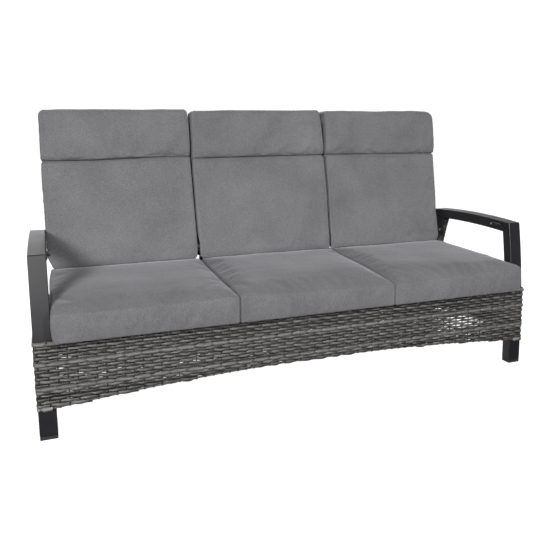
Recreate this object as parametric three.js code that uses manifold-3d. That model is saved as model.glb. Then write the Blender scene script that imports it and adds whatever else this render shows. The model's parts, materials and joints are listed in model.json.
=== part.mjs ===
// Three-seat garden sofa with two reclining outer backs: aluminium frame, woven apron, loose cushions.
// Millimetres, +Z up, the front faces -Y, the feet stand at z = 0, x = 0 is the middle of the width.
// The dimensions below count y from just behind the front of the legs; add() moves every piece
// by ORIGIN_Y so that y = 0 is the middle of the whole depth.
import * as THREE from "three";
import { mergeVertices } from "three/addons/utils/BufferGeometryUtils.js";
import Module from "manifold-3d";

const wasm = await Module();
wasm.setup();

// ---- driving dimensions ----
const HALF_W = 954; // outer faces of the arms
const ARM_W = 56; // width of the arm profile
const ARM_T = 43; // depth of the arm profile
const IN_X = HALF_W - ARM_W; // inner faces of the arms
const GAP = 0.3; // assembly gap
const ORIGIN_Y = 334; // middle of the depth, from the seat cushions' front to the backs' tops
const FOOT_H = 12;

const ARM_PEAK_Y = 390; // crown of the arched armrest
const ARM_PEAK_Z = 611.5;
const ARM_ARCH = 1.38e-4;
const ARM_END_Y = 549;

const POST_BEND = 1.86e-4; // the front post curves back above this height
const POST_BEND_Z = 150;
const POST_Y0 = -5;

const REAR_Y0 = 600.7; // front of the rear post's woven wrap, low down
const REAR_BEND = 4.3e-4; // the rear post curves forward above this height
const REAR_BEND_Z = 100;
const WRAP_D = 35; // woven wrap, front to back
const CORE_IN = 3.5; // rear post inside its wrap
const WRAP_LOW = 330;
const PLATE_T = 6; // hinge bracket plate, beside the wrap
const WRAP_IN = 905; // inner side of the woven wrap

const APRON_TOP = 322;
const APRON_LOW = 98; // lower edge at the corners
const APRON_RISE = 46; // rise of the arched lower edge
const APRON_Y = -12; // front face of the front apron
const APRON_X = 960; // outer faces of the side aprons
const APRON_BACK = 661; // rear face of the rear apron

const RAIL_LOW = 285;
const RAIL_TOP = 311;
const RAIL_IN = 872; // inner faces of the side rails
const DECK_T = 11.5;
const SEAT_LOW = RAIL_TOP + GAP + DECK_T + GAP;
const SEAT_TOP = 458; // highest part of the seat cushions, towards the rear
const SEAT_FRONT = -52;
const SEAT_BACK = 530;
const SEAT_X = [
  [-888, -298.5],
  [-293.5, 311.5],
  [316.5, 890],
]; // left, middle, right seat cushions

const PIVOT = [520, 506]; // y, z of the recline axis
const LEAN = Math.atan(0.166); // backs lean from the vertical
const BACK_Y = 597.2; // front lower edge of the back frames
const BACK_Z = 450;
const BACK_L = 608; // length of the back frames
const BACK_TUBE = 24;
const BACK_OUT = 885.4; // outer sides of the outer back frames
const BACK_IN = 307; // inner sides of the outer back frames
const MID_HALF = 293; // half width of the middle back frame
const CUSHION_OUT = 881;
const CUSHION_IN = 312;
const MID_CUSHION = 288;

const SPRING_X = 598; // gas springs, under the middle of each outer seat
const SPRING_A = [202, 245]; // y, z of the fixed eye
const SPRING_U = [630, 285]; // y, z of the eye on the back's lever
const LEVER_PIVOT = [128, 582]; // y, z of the release lever's axis

// ---- materials ----
const mat = (hex, roughness, metalness) =>
  new THREE.MeshStandardMaterial({ color: hex, roughness, metalness });
const anthracite = () => mat(0x3c3c40, 0.45, 0.35);
const anthraciteDark = () => mat(0x2b2b2e, 0.5, 0.35);
const steel = () => mat(0x9a9892, 0.35, 0.9);
const blackPlastic = () => mat(0x19191b, 0.6, 0.0);
const rattan = () => mat(0x6d6964, 0.6, 0.0);
const cloth = () => mat(0x7a797c, 0.95, 0.0);

// ---- helpers ----
const root = new THREE.Group();
function add(name, geometry, material) {
  geometry.translate(0, -ORIGIN_Y, 0);
  const m = new THREE.Mesh(geometry, material);
  m.name = name;
  root.add(m);
  return m;
}
const V = (x, y) => new THREE.Vector2(x, y);

// A closed outline of (y, z) points, extruded along x from x0 to x1, with rounded long edges.
function sideExtrude(points, x0, x1, bevel = 0, segments = 2) {
  const shape = new THREE.Shape(points.map((p) => V(p[0], p[1])));
  const lo = Math.min(x0, x1),
    hi = Math.max(x0, x1);
  const g = new THREE.ExtrudeGeometry(shape, {
    depth: hi - lo - 2 * bevel,
    bevelEnabled: bevel > 0,
    bevelThickness: bevel,
    bevelSize: bevel,
    bevelOffset: -bevel,
    bevelSegments: segments,
    curveSegments: 6,
    steps: 1,
  });
  g.applyMatrix4(
    new THREE.Matrix4().makeBasis(
      new THREE.Vector3(0, 1, 0),
      new THREE.Vector3(0, 0, 1),
      new THREE.Vector3(1, 0, 0),
    ),
  );
  g.translate(lo + bevel, 0, 0);
  return g;
}
function box(x0, x1, y0, y1, z0, z1) {
  const g = new THREE.BoxGeometry(
    Math.abs(x1 - x0),
    Math.abs(y1 - y0),
    Math.abs(z1 - z0),
  );
  g.translate((x0 + x1) / 2, (y0 + y1) / 2, (z0 + z1) / 2);
  return g;
}
// A turned piece: profile of (radius, distance) points about an axis from origin along dir.
function turned(profile, origin, dir, segments = 24) {
  const g = new THREE.LatheGeometry(
    profile.map((p) => V(p[0], p[1])),
    segments,
  );
  g.applyQuaternion(
    new THREE.Quaternion().setFromUnitVectors(
      new THREE.Vector3(0, 1, 0),
      new THREE.Vector3(...dir).normalize(),
    ),
  );
  g.translate(...origin);
  return g;
}
const rod = (r, x0, x1, y, z, segments = 24) =>
  turned(
    [
      [0, 0],
      [r, 0],
      [r, Math.abs(x1 - x0)],
      [0, Math.abs(x1 - x0)],
    ],
    [Math.min(x0, x1), y, z],
    [1, 0, 0],
    segments,
  );
function solid(geometry) {
  let g = geometry.index ? geometry.toNonIndexed() : geometry.clone();
  g.deleteAttribute("normal");
  g.deleteAttribute("uv");
  g = mergeVertices(g, 1e-3);
  const s = new wasm.Manifold(
    new wasm.Mesh({
      numProp: 3,
      vertProperties: new Float32Array(g.attributes.position.array),
      triVerts: new Uint32Array(g.index.array),
    }),
  );
  return s;
}
function geometryOf(s) {
  const m = s.getMesh();
  const g = new THREE.BufferGeometry();
  const n = m.vertProperties.length / m.numProp;
  const p = new Float32Array(n * 3);
  for (let i = 0; i < n; i++)
    for (let k = 0; k < 3; k++)
      p[3 * i + k] = m.vertProperties[m.numProp * i + k];
  g.setAttribute("position", new THREE.BufferAttribute(p, 3));
  g.setIndex(new THREE.BufferAttribute(new Uint32Array(m.triVerts), 1));
  const flat = g.toNonIndexed();
  flat.computeVertexNormals();
  return flat;
}
const cut = (g, ...holes) =>
  geometryOf(holes.reduce((s, h) => s.subtract(solid(h)), solid(g)));
const join = (g, ...more) =>
  geometryOf(more.reduce((s, h) => s.add(solid(h)), solid(g)));
const arc = (cy, cz, r, a0, a1, n) =>
  Array.from({ length: n + 1 }, (_, i) => {
    const a = ((a0 + ((a1 - a0) * i) / n) * Math.PI) / 180;
    return [cy + r * Math.cos(a), cz + r * Math.sin(a)];
  });

// ---- curves of the arm loops ----
const armTop = (y) => ARM_PEAK_Z - ARM_ARCH * (y - ARM_PEAK_Y) ** 2;
const postFront = (z) =>
  POST_Y0 + POST_BEND * Math.max(0, z - POST_BEND_Z) ** 2;
const wrapFront = (z) =>
  REAR_Y0 - REAR_BEND * Math.max(0, z - REAR_BEND_Z) ** 2;
// where the outer and inner lines of post and armrest meet
let cornerZ = 594;
for (let i = 0; i < 20; i++) cornerZ = armTop(postFront(cornerZ));
const cornerY = postFront(cornerZ);
let innerZ = 554;
for (let i = 0; i < 20; i++) innerZ = armTop(postFront(innerZ) + ARM_T) - ARM_T;
const innerY = postFront(innerZ) + ARM_T;

function frontPost() {
  const zs = [FOOT_H + GAP, 150, 215, 280, 340, 400, 455, 505, 550];
  const front = zs.map((z) => [postFront(z), z]);
  const back = zs
    .filter((z) => z < innerZ - 8)
    .map((z) => [postFront(z) + ARM_T, z]);
  // counterclockwise in (y, z): down the front would be clockwise, so start with the rear line upwards
  return [...back, [innerY, innerZ], [cornerY, cornerZ], ...front.reverse()];
}
function armrest() {
  const off = 0.27; // gap along the mitre
  const topY = [70, 115, 165, 220, 280, 340, 400, 460, 510];
  const lowY = [100, 150, 200, 260, 320, 390, 450, 500];
  const low = lowY.map((y) => [y, armTop(y) - ARM_T]);
  const top = topY.map((y) => [y, armTop(y)]).reverse();
  return [
    [innerY + off, innerZ + off],
    ...low,
    [ARM_END_Y, armTop(ARM_END_Y) - ARM_T],
    [ARM_END_Y, armTop(ARM_END_Y)],
    ...top,
    [cornerY + off, cornerZ + off],
  ];
}
function rearPost(inset, depth, zLow, zTop) {
  const f = (z) => wrapFront(z) + inset;
  const zs = [zLow, 100, 165, 225, 285, 340, 390, 435, 480, 522, 560].filter(
    (z, i) => i === 0 || z > zLow + 12,
  );
  const zf = zTop(f(566)),
    zb = zTop(f(566) + depth);
  return [
    ...zs.map((z) => [f(z) + depth, z]),
    [f(zb) + depth, zb],
    [f(zf), zf],
    ...zs.map((z) => [f(z), z]).reverse(),
  ];
}
const underArm = (y) => armTop(y) - ARM_T - GAP;

// ---- arms, posts and feet, both sides ----
for (const [side, s] of [
  ["left", -1],
  ["right", 1],
]) {
  const X = (a) => s * a;
  add(
    `front_post_${side}`,
    sideExtrude(frontPost(), X(IN_X), X(HALF_W), 2.2),
    anthracite(),
  );

  // armrest with the stub and screw head that carry the release lever
  const stub = rod(3, X(IN_X - 11.8), X(IN_X + 6), ...LEVER_PIVOT, 20);
  const head = rod(5.2, X(IN_X - 13.4), X(IN_X - 11.7), ...LEVER_PIVOT, 20);
  add(
    `armrest_${side}`,
    join(sideExtrude(armrest(), X(IN_X), X(HALF_W), 2.2), stub, head),
    anthracite(),
  );
  add(
    `arm_end_plug_${side}`,
    sideExtrude(
      [
        [ARM_END_Y + GAP, armTop(ARM_END_Y) - ARM_T + 0.6],
        [ARM_END_Y + 3.2, armTop(ARM_END_Y) - ARM_T + 0.6],
        [ARM_END_Y + 3.2, armTop(ARM_END_Y) - 0.6],
        [ARM_END_Y + GAP, armTop(ARM_END_Y) - 0.6],
      ],
      X(IN_X + 0.6),
      X(HALF_W - 0.6),
    ),
    blackPlastic(),
  );

  const coreD = WRAP_D - 2 * CORE_IN;
  add(
    `rear_post_${side}`,
    sideExtrude(
      rearPost(CORE_IN, coreD, FOOT_H + GAP, underArm),
      X(WRAP_IN + CORE_IN),
      X(HALF_W - CORE_IN),
      1.5,
      1,
    ),
    anthracite(),
  );
  const wrapOuter = sideExtrude(
    rearPost(0, WRAP_D, WRAP_LOW, underArm),
    X(WRAP_IN),
    X(HALF_W),
    2.5,
    1,
  );
  const wrapInner = sideExtrude(
    rearPost(CORE_IN - GAP, coreD + 2 * GAP, WRAP_LOW - 45, (y) => armTop(y) + 10),
    X(WRAP_IN + CORE_IN - GAP),
    X(HALF_W - CORE_IN + GAP),
  );
  add(`post_wrap_${side}`, cut(wrapOuter, wrapInner), rattan());

  // hinge horn: a plate under the rear end of the armrest and beside the wrapped post, tapering down to the pivot
  const [py, pz] = PIVOT;
  const horn = sideExtrude(
    [
      [487, underArm(487)],
      ...arc(py, pz, 15, 195, 350, 10),
      [ARM_END_Y - 0.5, underArm(ARM_END_Y - 0.5)],
    ],
    X(IN_X + 0.3),
    X(IN_X + 0.3 + PLATE_T),
    0.8,
    1,
  );
  add(
    `hinge_horn_${side}`,
    cut(horn, rod(5.3, X(IN_X - 5), X(IN_X + 40), py, pz)),
    anthraciteDark(),
  );
  // shoulder bolt: head outside the horn, spacer collar inside it, then the back's plate
  add(
    `pivot_pin_${side}`,
    turned(
      [
        [0, 0],
        [7.5, 0],
        [8.5, 1],
        [8.5, 4.2],
        [5, 4.2],
        [5, 11.1],
        [9, 11.1],
        [9, 18.5],
        [5, 18.5],
        [5, 23.4],
        [7, 23.4],
        [7, 24.9],
        [0, 24.9],
      ],
      [X(IN_X + 0.3 + PLATE_T + 0.3 + 4.2), py, pz],
      [-s, 0, 0],
    ),
    steel(),
  );

  // feet
  add(
    `foot_plug_front_${side}`,
    sideExtrude(
      [
        [POST_Y0 + 0.5, 0],
        [POST_Y0 + ARM_T - 0.5, 0],
        [POST_Y0 + ARM_T - 0.5, FOOT_H],
        [POST_Y0 + 0.5, FOOT_H],
      ],
      X(IN_X + 0.5),
      X(HALF_W - 0.5),
      1.5,
      1,
    ),
    blackPlastic(),
  );
  const fy = wrapFront(FOOT_H) + CORE_IN;
  add(
    `foot_plug_rear_${side}`,
    sideExtrude(
      [
        [fy + 0.5, 0],
        [fy + coreD - 0.5, 0],
        [fy + coreD - 0.5, FOOT_H],
        [fy + 0.5, FOOT_H],
      ],
      X(WRAP_IN + CORE_IN + 0.5),
      X(HALF_W - CORE_IN - 0.5),
      1.5,
      1,
    ),
    blackPlastic(),
  );

  // side rail of the seat, with a lug that reaches the rear post
  add(
    `seat_rail_${side}`,
    join(
      box(X(RAIL_IN), X(IN_X - GAP), 3, 645, RAIL_LOW, RAIL_TOP),
      box(X(IN_X - 6), X(WRAP_IN + CORE_IN - GAP), 590, 612, RAIL_LOW + 2, RAIL_TOP - 2),
    ),
    anthraciteDark(),
  );

  // side apron
  const low = Array.from({ length: 11 }, (_, i) => {
    const y = -5 + (i * 660) / 10;
    return [y, APRON_LOW + 20 * (1 - ((y - 325) / 330) ** 2)];
  });
  add(
    `apron_${side}`,
    sideExtrude(
      [...low, [655, APRON_TOP], [-5, APRON_TOP]],
      X(HALF_W + GAP),
      X(APRON_X),
    ),
    rattan(),
  );

  // release lever: a ribbed paddle on the inner face of the armrest, turning about the stub
  const [ly, lz] = LEVER_PIVOT;
  const paddle = sideExtrude(
    [
      ...arc(ly, lz, 8, -100, 100, 8),
      [104, 587.5],
      [88, 588.5],
      ...arc(84, 583.5, 5.2, 100, 260, 4),
      [100, 576],
    ],
    X(IN_X - 11.4),
    X(IN_X - 1),
    1,
    1,
  );
  const rib = (y) => box(X(IN_X - 13), X(IN_X - 10), y, y + 4, 579.4, 586);
  add(
    `release_lever_${side}`,
    cut(
      join(paddle, rib(88), rib(96), rib(104)),
      rod(3.3, X(IN_X - 20), X(IN_X + 5), ly, lz),
    ),
    blackPlastic(),
  );
}

// ---- seat base ----
add(
  "seat_rail_front",
  box(-RAIL_IN + GAP, RAIL_IN - GAP, 3, 33, RAIL_LOW, RAIL_TOP),
  anthraciteDark(),
);
// middle rail with the two brackets and pins for the gas springs
{
  let g = box(-RAIL_IN + GAP, RAIL_IN - GAP, 190, 214, RAIL_LOW, RAIL_TOP);
  const extra = [];
  for (const s of [-1, 1]) {
    const c = s * SPRING_X;
    for (const d of [-10.5, 10.5])
      extra.push(box(c + d - 2, c + d + 2, 190, 214, 234, RAIL_LOW + 4));
    extra.push(rod(4, c - 11, c + 11, ...SPRING_A));
  }
  add("seat_rail_middle", join(g, ...extra), anthraciteDark());
}
add(
  "seat_rail_rear",
  box(-RAIL_IN + GAP, RAIL_IN - GAP, 495, 525, RAIL_LOW, RAIL_TOP),
  anthraciteDark(),
);
add(
  "rear_cross_rail",
  box(-WRAP_IN - CORE_IN + GAP, WRAP_IN + CORE_IN - GAP, 599, 623, 205, 235),
  anthraciteDark(),
);
add(
  "apron_rail_rear",
  box(-IN_X + GAP, IN_X - GAP, 645.3, 654.7, RAIL_LOW, RAIL_TOP),
  anthraciteDark(),
);
for (const [side, x0, x1] of [
  ["left", -871, -300],
  ["middle", -299.4, 299.4],
  ["right", 300, 871],
])
  add(
    `seat_deck_${side}`,
    box(x0, x1, 5, 526, RAIL_TOP + GAP, RAIL_TOP + GAP + DECK_T),
    rattan(),
  );

// ---- front and rear aprons with arched lower edges ----
function apron(y0, y1) {
  const n = 24;
  const low = Array.from({ length: n + 1 }, (_, i) => {
    const x = -APRON_X + (2 * APRON_X * i) / n;
    return V(x, APRON_LOW + APRON_RISE * Math.max(0, 1 - (x / 940) ** 2));
  });
  const shape = new THREE.Shape([
    ...low,
    V(APRON_X, APRON_TOP),
    V(-APRON_X, APRON_TOP),
  ]);
  const g = new THREE.ExtrudeGeometry(shape, {
    depth: y1 - y0,
    bevelEnabled: false,
  });
  g.rotateX(Math.PI / 2); // shape y to world z, depth to -y
  g.translate(0, y1, 0);
  return g;
}
add("apron_front", apron(APRON_Y, POST_Y0 - GAP), rattan());
add("apron_rear", apron(655.3, APRON_BACK), rattan());

// ---- backs ----
const sinL = Math.sin(LEAN),
  cosL = Math.cos(LEAN);
const toBack = (geometry) => {
  // local x stays, local y is the depth behind the frame's front face, local z runs up the back
  geometry.rotateX(-LEAN);
  geometry.translate(0, BACK_Y, BACK_Z);
  return geometry;
};
function roundRect(x0, x1, z0, z1, rLow, rTop) {
  const p = new THREE.Shape();
  p.moveTo(x0 + rLow, z0);
  p.lineTo(x1 - rLow, z0);
  p.absarc(x1 - rLow, z0 + rLow, rLow, -Math.PI / 2, 0);
  p.lineTo(x1, z1 - rTop);
  p.absarc(x1 - rTop, z1 - rTop, rTop, 0, Math.PI / 2);
  p.lineTo(x0 + rTop, z1);
  p.absarc(x0 + rTop, z1 - rTop, rTop, Math.PI / 2, Math.PI);
  p.lineTo(x0, z0 + rLow);
  p.absarc(x0 + rLow, z0 + rLow, rLow, Math.PI, 1.5 * Math.PI);
  return p;
}
function slab(shape, y0, y1, bevel = 0) {
  const g = new THREE.ExtrudeGeometry(shape, {
    depth: y1 - y0 - 2 * bevel,
    bevelEnabled: bevel > 0,
    bevelThickness: bevel,
    bevelSize: bevel,
    bevelOffset: -bevel,
    bevelSegments: 1,
    curveSegments: 4,
  });
  g.rotateX(Math.PI / 2);
  g.translate(0, y1 - bevel, 0);
  return g;
}
function backFrame(x0, x1) {
  const t = BACK_TUBE;
  const outer = slab(roundRect(x0, x1, 0, BACK_L, 22, 50), 0, t, 3);
  const inner = slab(
    roundRect(x0 + t, x1 - t, t, BACK_L - t, 8, 28),
    -5,
    t + 5,
  );
  return toBack(cut(outer, inner));
}
function backPanel(x0, x1) {
  const t = BACK_TUBE + GAP;
  return toBack(
    slab(roundRect(x0 + t, x1 - t, t, BACK_L - t, 9, 29), 8, 16),
  );
}
// back plate from the pivot to the side tube of the frame
const [PY, PZ] = PIVOT;
const platePoints = [
  ...arc(PY, PZ, 14, 115, 265, 8),
  [606, 477],
  [630, 477],
  [643.5, 558],
  [620, 562],
];
const plate = (x0, x1) => sideExtrude(platePoints, x0, x1);
const plateHole = (x0, x1) => rod(5.3, x0 - 5, x1 + 5, PY, PZ);

// outline of a back cushion from the side: full at the waist, a groove, then the head roll
const rearFace = (z) => BACK_Y - 3 + (z - BACK_Z) * 0.166;
const backCushionPoints = [
  [512, 458.5],
  [rearFace(463) - 14, 463],
  [rearFace(475), 475],
  [rearFace(1040), 1040],
  [rearFace(1060) - 8, 1061],
  [668, 1069],
  [634, 1069],
  [600, 1056],
  [585, 1034],
  [577, 985],
  [573, 930],
  [575, 890],
  [583, 874],
  [573, 850],
  [534, 650],
  [500, 490],
  [501, 469],
];

for (const [side, s] of [
  ["left", -1],
  ["right", 1],
]) {
  const lo = s < 0 ? -BACK_OUT : BACK_IN;
  const hi = s < 0 ? -BACK_IN : BACK_OUT;
  add(`back_frame_${side}`, backFrame(lo, hi), anthracite());
  add(`back_panel_${side}`, backPanel(lo, hi), rattan());
  const o0 = s * (BACK_OUT + GAP),
    o1 = s * (BACK_OUT + GAP + 4);
  add(
    `hinge_plate_outer_${side}`,
    cut(plate(o0, o1), plateHole(Math.min(o0, o1), Math.max(o0, o1))),
    anthraciteDark(),
  );
  const i0 = s * (BACK_IN - GAP),
    i1 = s * (BACK_IN - GAP - 4);
  add(
    `hinge_plate_inner_${side}`,
    cut(plate(i0, i1), plateHole(Math.min(i0, i1), Math.max(i0, i1))),
    anthraciteDark(),
  );
  // pin between the outer back's inner plate and the middle back's fixed plate
  add(
    `pivot_pin_inner_${side}`,
    turned(
      [
        [0, 0],
        [7, 0],
        [7, 1.6],
        [5, 1.6],
        [5, 6.6],
        [9, 6.6],
        [9, 10.8],
        [5, 10.8],
        [5, 17.0],
        [7, 17.0],
        [7, 18.6],
        [0, 18.6],
      ],
      [s * (BACK_IN + 1.9), PY, PZ],
      [-s, 0, 0],
    ),
    steel(),
  );
  // lever under the frame that the gas spring works on, with its pin
  const under = (y) => BACK_Z - (y - BACK_Y) * Math.tan(LEAN) - 0.4;
  const [uy, uz] = SPRING_U;
  const lx = s * SPRING_X;
  const lever = sideExtrude(
    [
      [601, under(601)],
      ...arc(uy, uz, 12, 188, 352, 10),
      [626, under(626)],
    ],
    lx + 8.3,
    lx + 16.3,
  );
  add(
    `spring_lever_${side}`,
    join(
      lever,
      rod(4, lx - 10.4, lx + 12, uy, uz),
      rod(9.5, lx - 12.6, lx - 9.6, uy, uz),
    ),
    anthraciteDark(),
  );
  const c0 = s < 0 ? -CUSHION_OUT : CUSHION_IN;
  const c1 = s < 0 ? -CUSHION_IN : CUSHION_OUT;
  add(
    `back_cushion_${side}`,
    sideExtrude(backCushionPoints, c0, c1, 10, 2),
    cloth(),
  );

  // gas spring
  const [ay, az] = SPRING_A;
  const len = Math.hypot(uy - ay, uz - az);
  const dir = [0, (uy - ay) / len, (uz - az) / len];
  const body = turned(
    [
      [0, 4],
      [5.5, 4],
      [5.5, 16],
      [11, 19],
      [11, 226],
      [9.5, 228],
      [4.6, 228],
      [4.6, 100],
      [0, 100],
    ],
    [lx, ay, az],
    dir,
    28,
  );
  add(
    `gas_cylinder_${side}`,
    cut(
      join(body, rod(9, lx - 7.5, lx + 7.5, ay, az)),
      rod(4.3, lx - 12, lx + 12, ay, az),
    ),
    blackPlastic(),
  );
  const shaft = turned(
    [
      [0, 200],
      [4, 200],
      [4, 414],
      [5.5, 415],
      [5.5, 423],
      [0, 423],
    ],
    [lx, ay, az],
    dir,
    20,
  );
  add(
    `gas_rod_${side}`,
    cut(
      join(shaft, rod(11.5, lx - 6.5, lx + 6.5, uy, uz, 28)),
      rod(7, lx - 12, lx + 12, uy, uz, 28),
    ),
    steel(),
  );
}

// fixed middle back, with a plate on each side that carries the inner pins
{
  const p0 = plate(MID_HALF - 0.8, MID_HALF + 4),
    p1 = plate(-MID_HALF - 4, -MID_HALF + 0.8);
  add(
    "back_frame_middle",
    cut(
      join(backFrame(-MID_HALF, MID_HALF), p0, p1),
      rod(5.3, MID_HALF - 8, MID_HALF + 8, PY, PZ),
      rod(5.3, -MID_HALF - 8, -MID_HALF + 8, PY, PZ),
    ),
    anthracite(),
  );
  add("back_panel_middle", backPanel(-MID_HALF, MID_HALF), rattan());
  add(
    "back_cushion_middle",
    sideExtrude(backCushionPoints, -MID_CUSHION, MID_CUSHION, 10, 2),
    cloth(),
  );
  const under = (y) => BACK_Z - (y - BACK_Y) * Math.tan(LEAN) - 0.4;
  for (const [side, s] of [
    ["left", -1],
    ["right", 1],
  ])
    add(
      `back_strut_${side}`,
      sideExtrude(
        [
          [566, 235.3],
          [589, 235.3],
          [621, under(621)],
          [600, under(600)],
        ],
        s * 255,
        s * 279,
      ),
      anthraciteDark(),
    );
}

// ---- seat cushions ----
const seatPoints = [
  [-30, SEAT_LOW],
  [505, SEAT_LOW],
  [523, SEAT_LOW + 5],
  [SEAT_BACK, SEAT_LOW + 20],
  [SEAT_BACK, 434],
  [524, 450],
  [508, SEAT_TOP - 3],
  [430, SEAT_TOP],
  [310, SEAT_TOP - 1],
  [180, 452],
  [60, 444],
  [-20, 436],
  [-41, 425],
  [SEAT_FRONT + 1, 408],
  [SEAT_FRONT, 350],
  [-46, 331],
];
for (const [i, side] of ["left", "middle", "right"].entries())
  add(
    `seat_cushion_${side}`,
    sideExtrude(seatPoints, SEAT_X[i][0], SEAT_X[i][1], 8, 2),
    cloth(),
  );

export default root;
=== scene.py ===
import json
import math
import bpy
import numpy as np
from mathutils import Matrix, Vector


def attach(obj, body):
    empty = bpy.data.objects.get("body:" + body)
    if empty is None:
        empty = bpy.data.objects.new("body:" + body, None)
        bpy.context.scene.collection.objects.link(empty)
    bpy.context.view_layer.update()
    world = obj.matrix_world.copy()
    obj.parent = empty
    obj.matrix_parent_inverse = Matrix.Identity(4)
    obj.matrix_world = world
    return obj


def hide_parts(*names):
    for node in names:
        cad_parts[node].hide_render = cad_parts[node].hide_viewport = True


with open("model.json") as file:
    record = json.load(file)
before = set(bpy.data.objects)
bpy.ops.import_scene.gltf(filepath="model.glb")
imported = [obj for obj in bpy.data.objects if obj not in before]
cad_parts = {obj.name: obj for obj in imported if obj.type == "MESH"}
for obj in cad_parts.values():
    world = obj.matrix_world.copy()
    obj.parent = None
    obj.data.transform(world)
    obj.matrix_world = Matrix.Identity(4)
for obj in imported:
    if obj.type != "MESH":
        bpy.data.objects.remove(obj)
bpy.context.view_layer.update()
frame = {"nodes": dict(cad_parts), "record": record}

BODIES = frame["record"]["behaviour"]["bodies"]
BODY_OF = {n: b for b, ns in BODIES.items() for n in ns}

# ---- frame: all shapes below are worked out in millimetres, y counted as in the construction, and moved by ORIGIN_Y ----
MM = 0.001
ORIGIN_Y = 334.0
LEAN_T = 0.166
LEAN = math.atan(LEAN_T)
BACK_Y, BACK_Z, BACK_L, TUBE = 597.2, 450.0, 608.0, 24.0
HALF_W, IN_X, ARM_T, WRAP_IN = 954.0, 898.0, 43.0, 905.0


def arm_top(y):
    return 611.5 - 1.38e-4 * (y - 390.0) ** 2


def post_front(z):
    return -5.0 + 1.86e-4 * max(0.0, z - 150.0) ** 2


def wrap_front(z):
    return 600.7 - 4.3e-4 * max(0.0, z - 100.0) ** 2


# ---- small tools ----
def smoothstep(a, b, x):
    t = np.clip((np.asarray(x, float) - a) / (b - a), 0, 1)
    return t * t * (3 - 2 * t)


class Waves:
    """A smooth wandering value: a sum of sines with random directions and the given range of wavelengths (mm)."""

    def __init__(self, seed, n, low, high, stretch=(1, 1, 1)):
        r = np.random.default_rng(seed)
        lam = np.exp(r.uniform(math.log(low), math.log(high), n))
        d = r.normal(size=(n, 3))
        d /= np.linalg.norm(d, axis=1)[:, None]
        self.k = d * (2 * math.pi / lam)[:, None] / np.array(stretch, float)
        self.ph = r.uniform(0, 2 * math.pi, n)
        self.n = n

    def __call__(self, p):
        return np.sin(np.asarray(p, float) @ self.k.T + self.ph).sum(1) / math.sqrt(self.n / 2)


def mesh_object(name, verts, polys, material, smooth=True, strand=None, uv=None):
    """verts in millimetres (n, 3); polys a list of integer arrays, each (m, k)."""
    v = np.asarray(verts, float).copy()
    v[:, 1] -= ORIGIN_Y
    v *= MM
    me = bpy.data.meshes.new(name)
    me.vertices.add(len(v))
    me.vertices.foreach_set("co", v.astype(np.float32).ravel())
    loops = np.concatenate([np.asarray(p, np.int32).ravel() for p in polys])
    sizes = np.concatenate([np.full(len(p), np.asarray(p).shape[1], np.int32) for p in polys])
    starts = np.concatenate([[0], np.cumsum(sizes)[:-1]]).astype(np.int32)
    me.loops.add(len(loops))
    me.loops.foreach_set("vertex_index", loops)
    me.polygons.add(len(sizes))
    me.polygons.foreach_set("loop_start", starts)
    me.polygons.foreach_set("loop_total", sizes)
    me.polygons.foreach_set("use_smooth", np.full(len(sizes), bool(smooth)))
    if strand is not None:
        a = me.attributes.new("strand", "FLOAT_VECTOR", "POINT")
        a.data.foreach_set("vector", np.asarray(strand, np.float32).ravel())
    me.update(calc_edges=True)
    me.validate()
    me.materials.append(material)
    o = bpy.data.objects.new(name, me)
    bpy.context.scene.collection.objects.link(o)
    return o


def sweep(c, u, v, profile, closed=False, caps=True):
    """A profile of (a, b) points carried along centres c with side vectors u and v."""
    c, u, v = (np.asarray(x, float) for x in (c, u, v))
    p = np.asarray(profile, float)
    if p.ndim == 2:
        p = np.broadcast_to(p, (len(c),) + p.shape)
    n, m = p.shape[:2]
    verts = c[:, None, :] + p[:, :, :1] * u[:, None, :] + p[:, :, 1:] * v[:, None, :]
    verts = verts.reshape(-1, 3)
    i = np.arange(n if closed else n - 1)
    j = np.arange(m)
    a = (i[:, None] * m + j[None, :]).ravel()
    b = (i[:, None] * m + (j[None, :] + 1) % m).ravel()
    i2 = (i + 1) % n
    d = (i2[:, None] * m + j[None, :]).ravel()
    e = (i2[:, None] * m + (j[None, :] + 1) % m).ravel()
    polys = [np.stack([a, b, e, d], 1)]
    if caps and not closed:
        k = len(verts)
        verts = np.vstack([verts, c[0] + p[0].mean(0)[0] * u[0] + p[0].mean(0)[1] * v[0],
                           c[-1] + p[-1].mean(0)[0] * u[-1] + p[-1].mean(0)[1] * v[-1]])
        polys.append(np.stack([np.full(m, k), (j + 1) % m, j], 1))
        polys.append(np.stack([np.full(m, k + 1), (n - 1) * m + j, (n - 1) * m + (j + 1) % m], 1))
    return verts, polys


class Bundle:
    """Many swept strands in one mesh."""

    def __init__(self):
        self.v, self.q, self.t, self.s, self.n = [], [], [], [], 0

    def add(self, c, u, v, profile, rand=0.0, closed=False, caps=True, s0=0.0):
        verts, polys = sweep(c, u, v, profile, closed, caps)
        m = np.asarray(profile).shape[-2]
        n = len(c)
        seg = np.linalg.norm(np.diff(np.asarray(c, float), axis=0), axis=1)
        s = s0 + np.concatenate([[0], np.cumsum(seg)]) * MM
        st = np.zeros((len(verts), 3))
        st[: n * m, 0] = np.repeat(s, m)
        st[: n * m, 2] = np.tile(np.arange(m) / m, n)
        st[n * m:, 0] = s[-1]
        st[:, 1] = rand
        self.v.append(verts)
        self.s.append(st)
        for p in polys:
            (self.q if p.shape[1] == 4 else self.t).append(p + self.n)
        self.n += len(verts)

    def object(self, name, material, place=None):
        v = np.vstack(self.v)
        if place is not None:
            v = place(v)
        polys = [np.vstack(self.q)] + ([np.vstack(self.t)] if self.t else [])
        return mesh_object(name, v, polys, material, True, np.vstack(self.s))


def ellipse(a, b, n):
    t = np.arange(n) * 2 * math.pi / n
    return np.stack([a * np.cos(t), b * np.sin(t)], 1)


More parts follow.
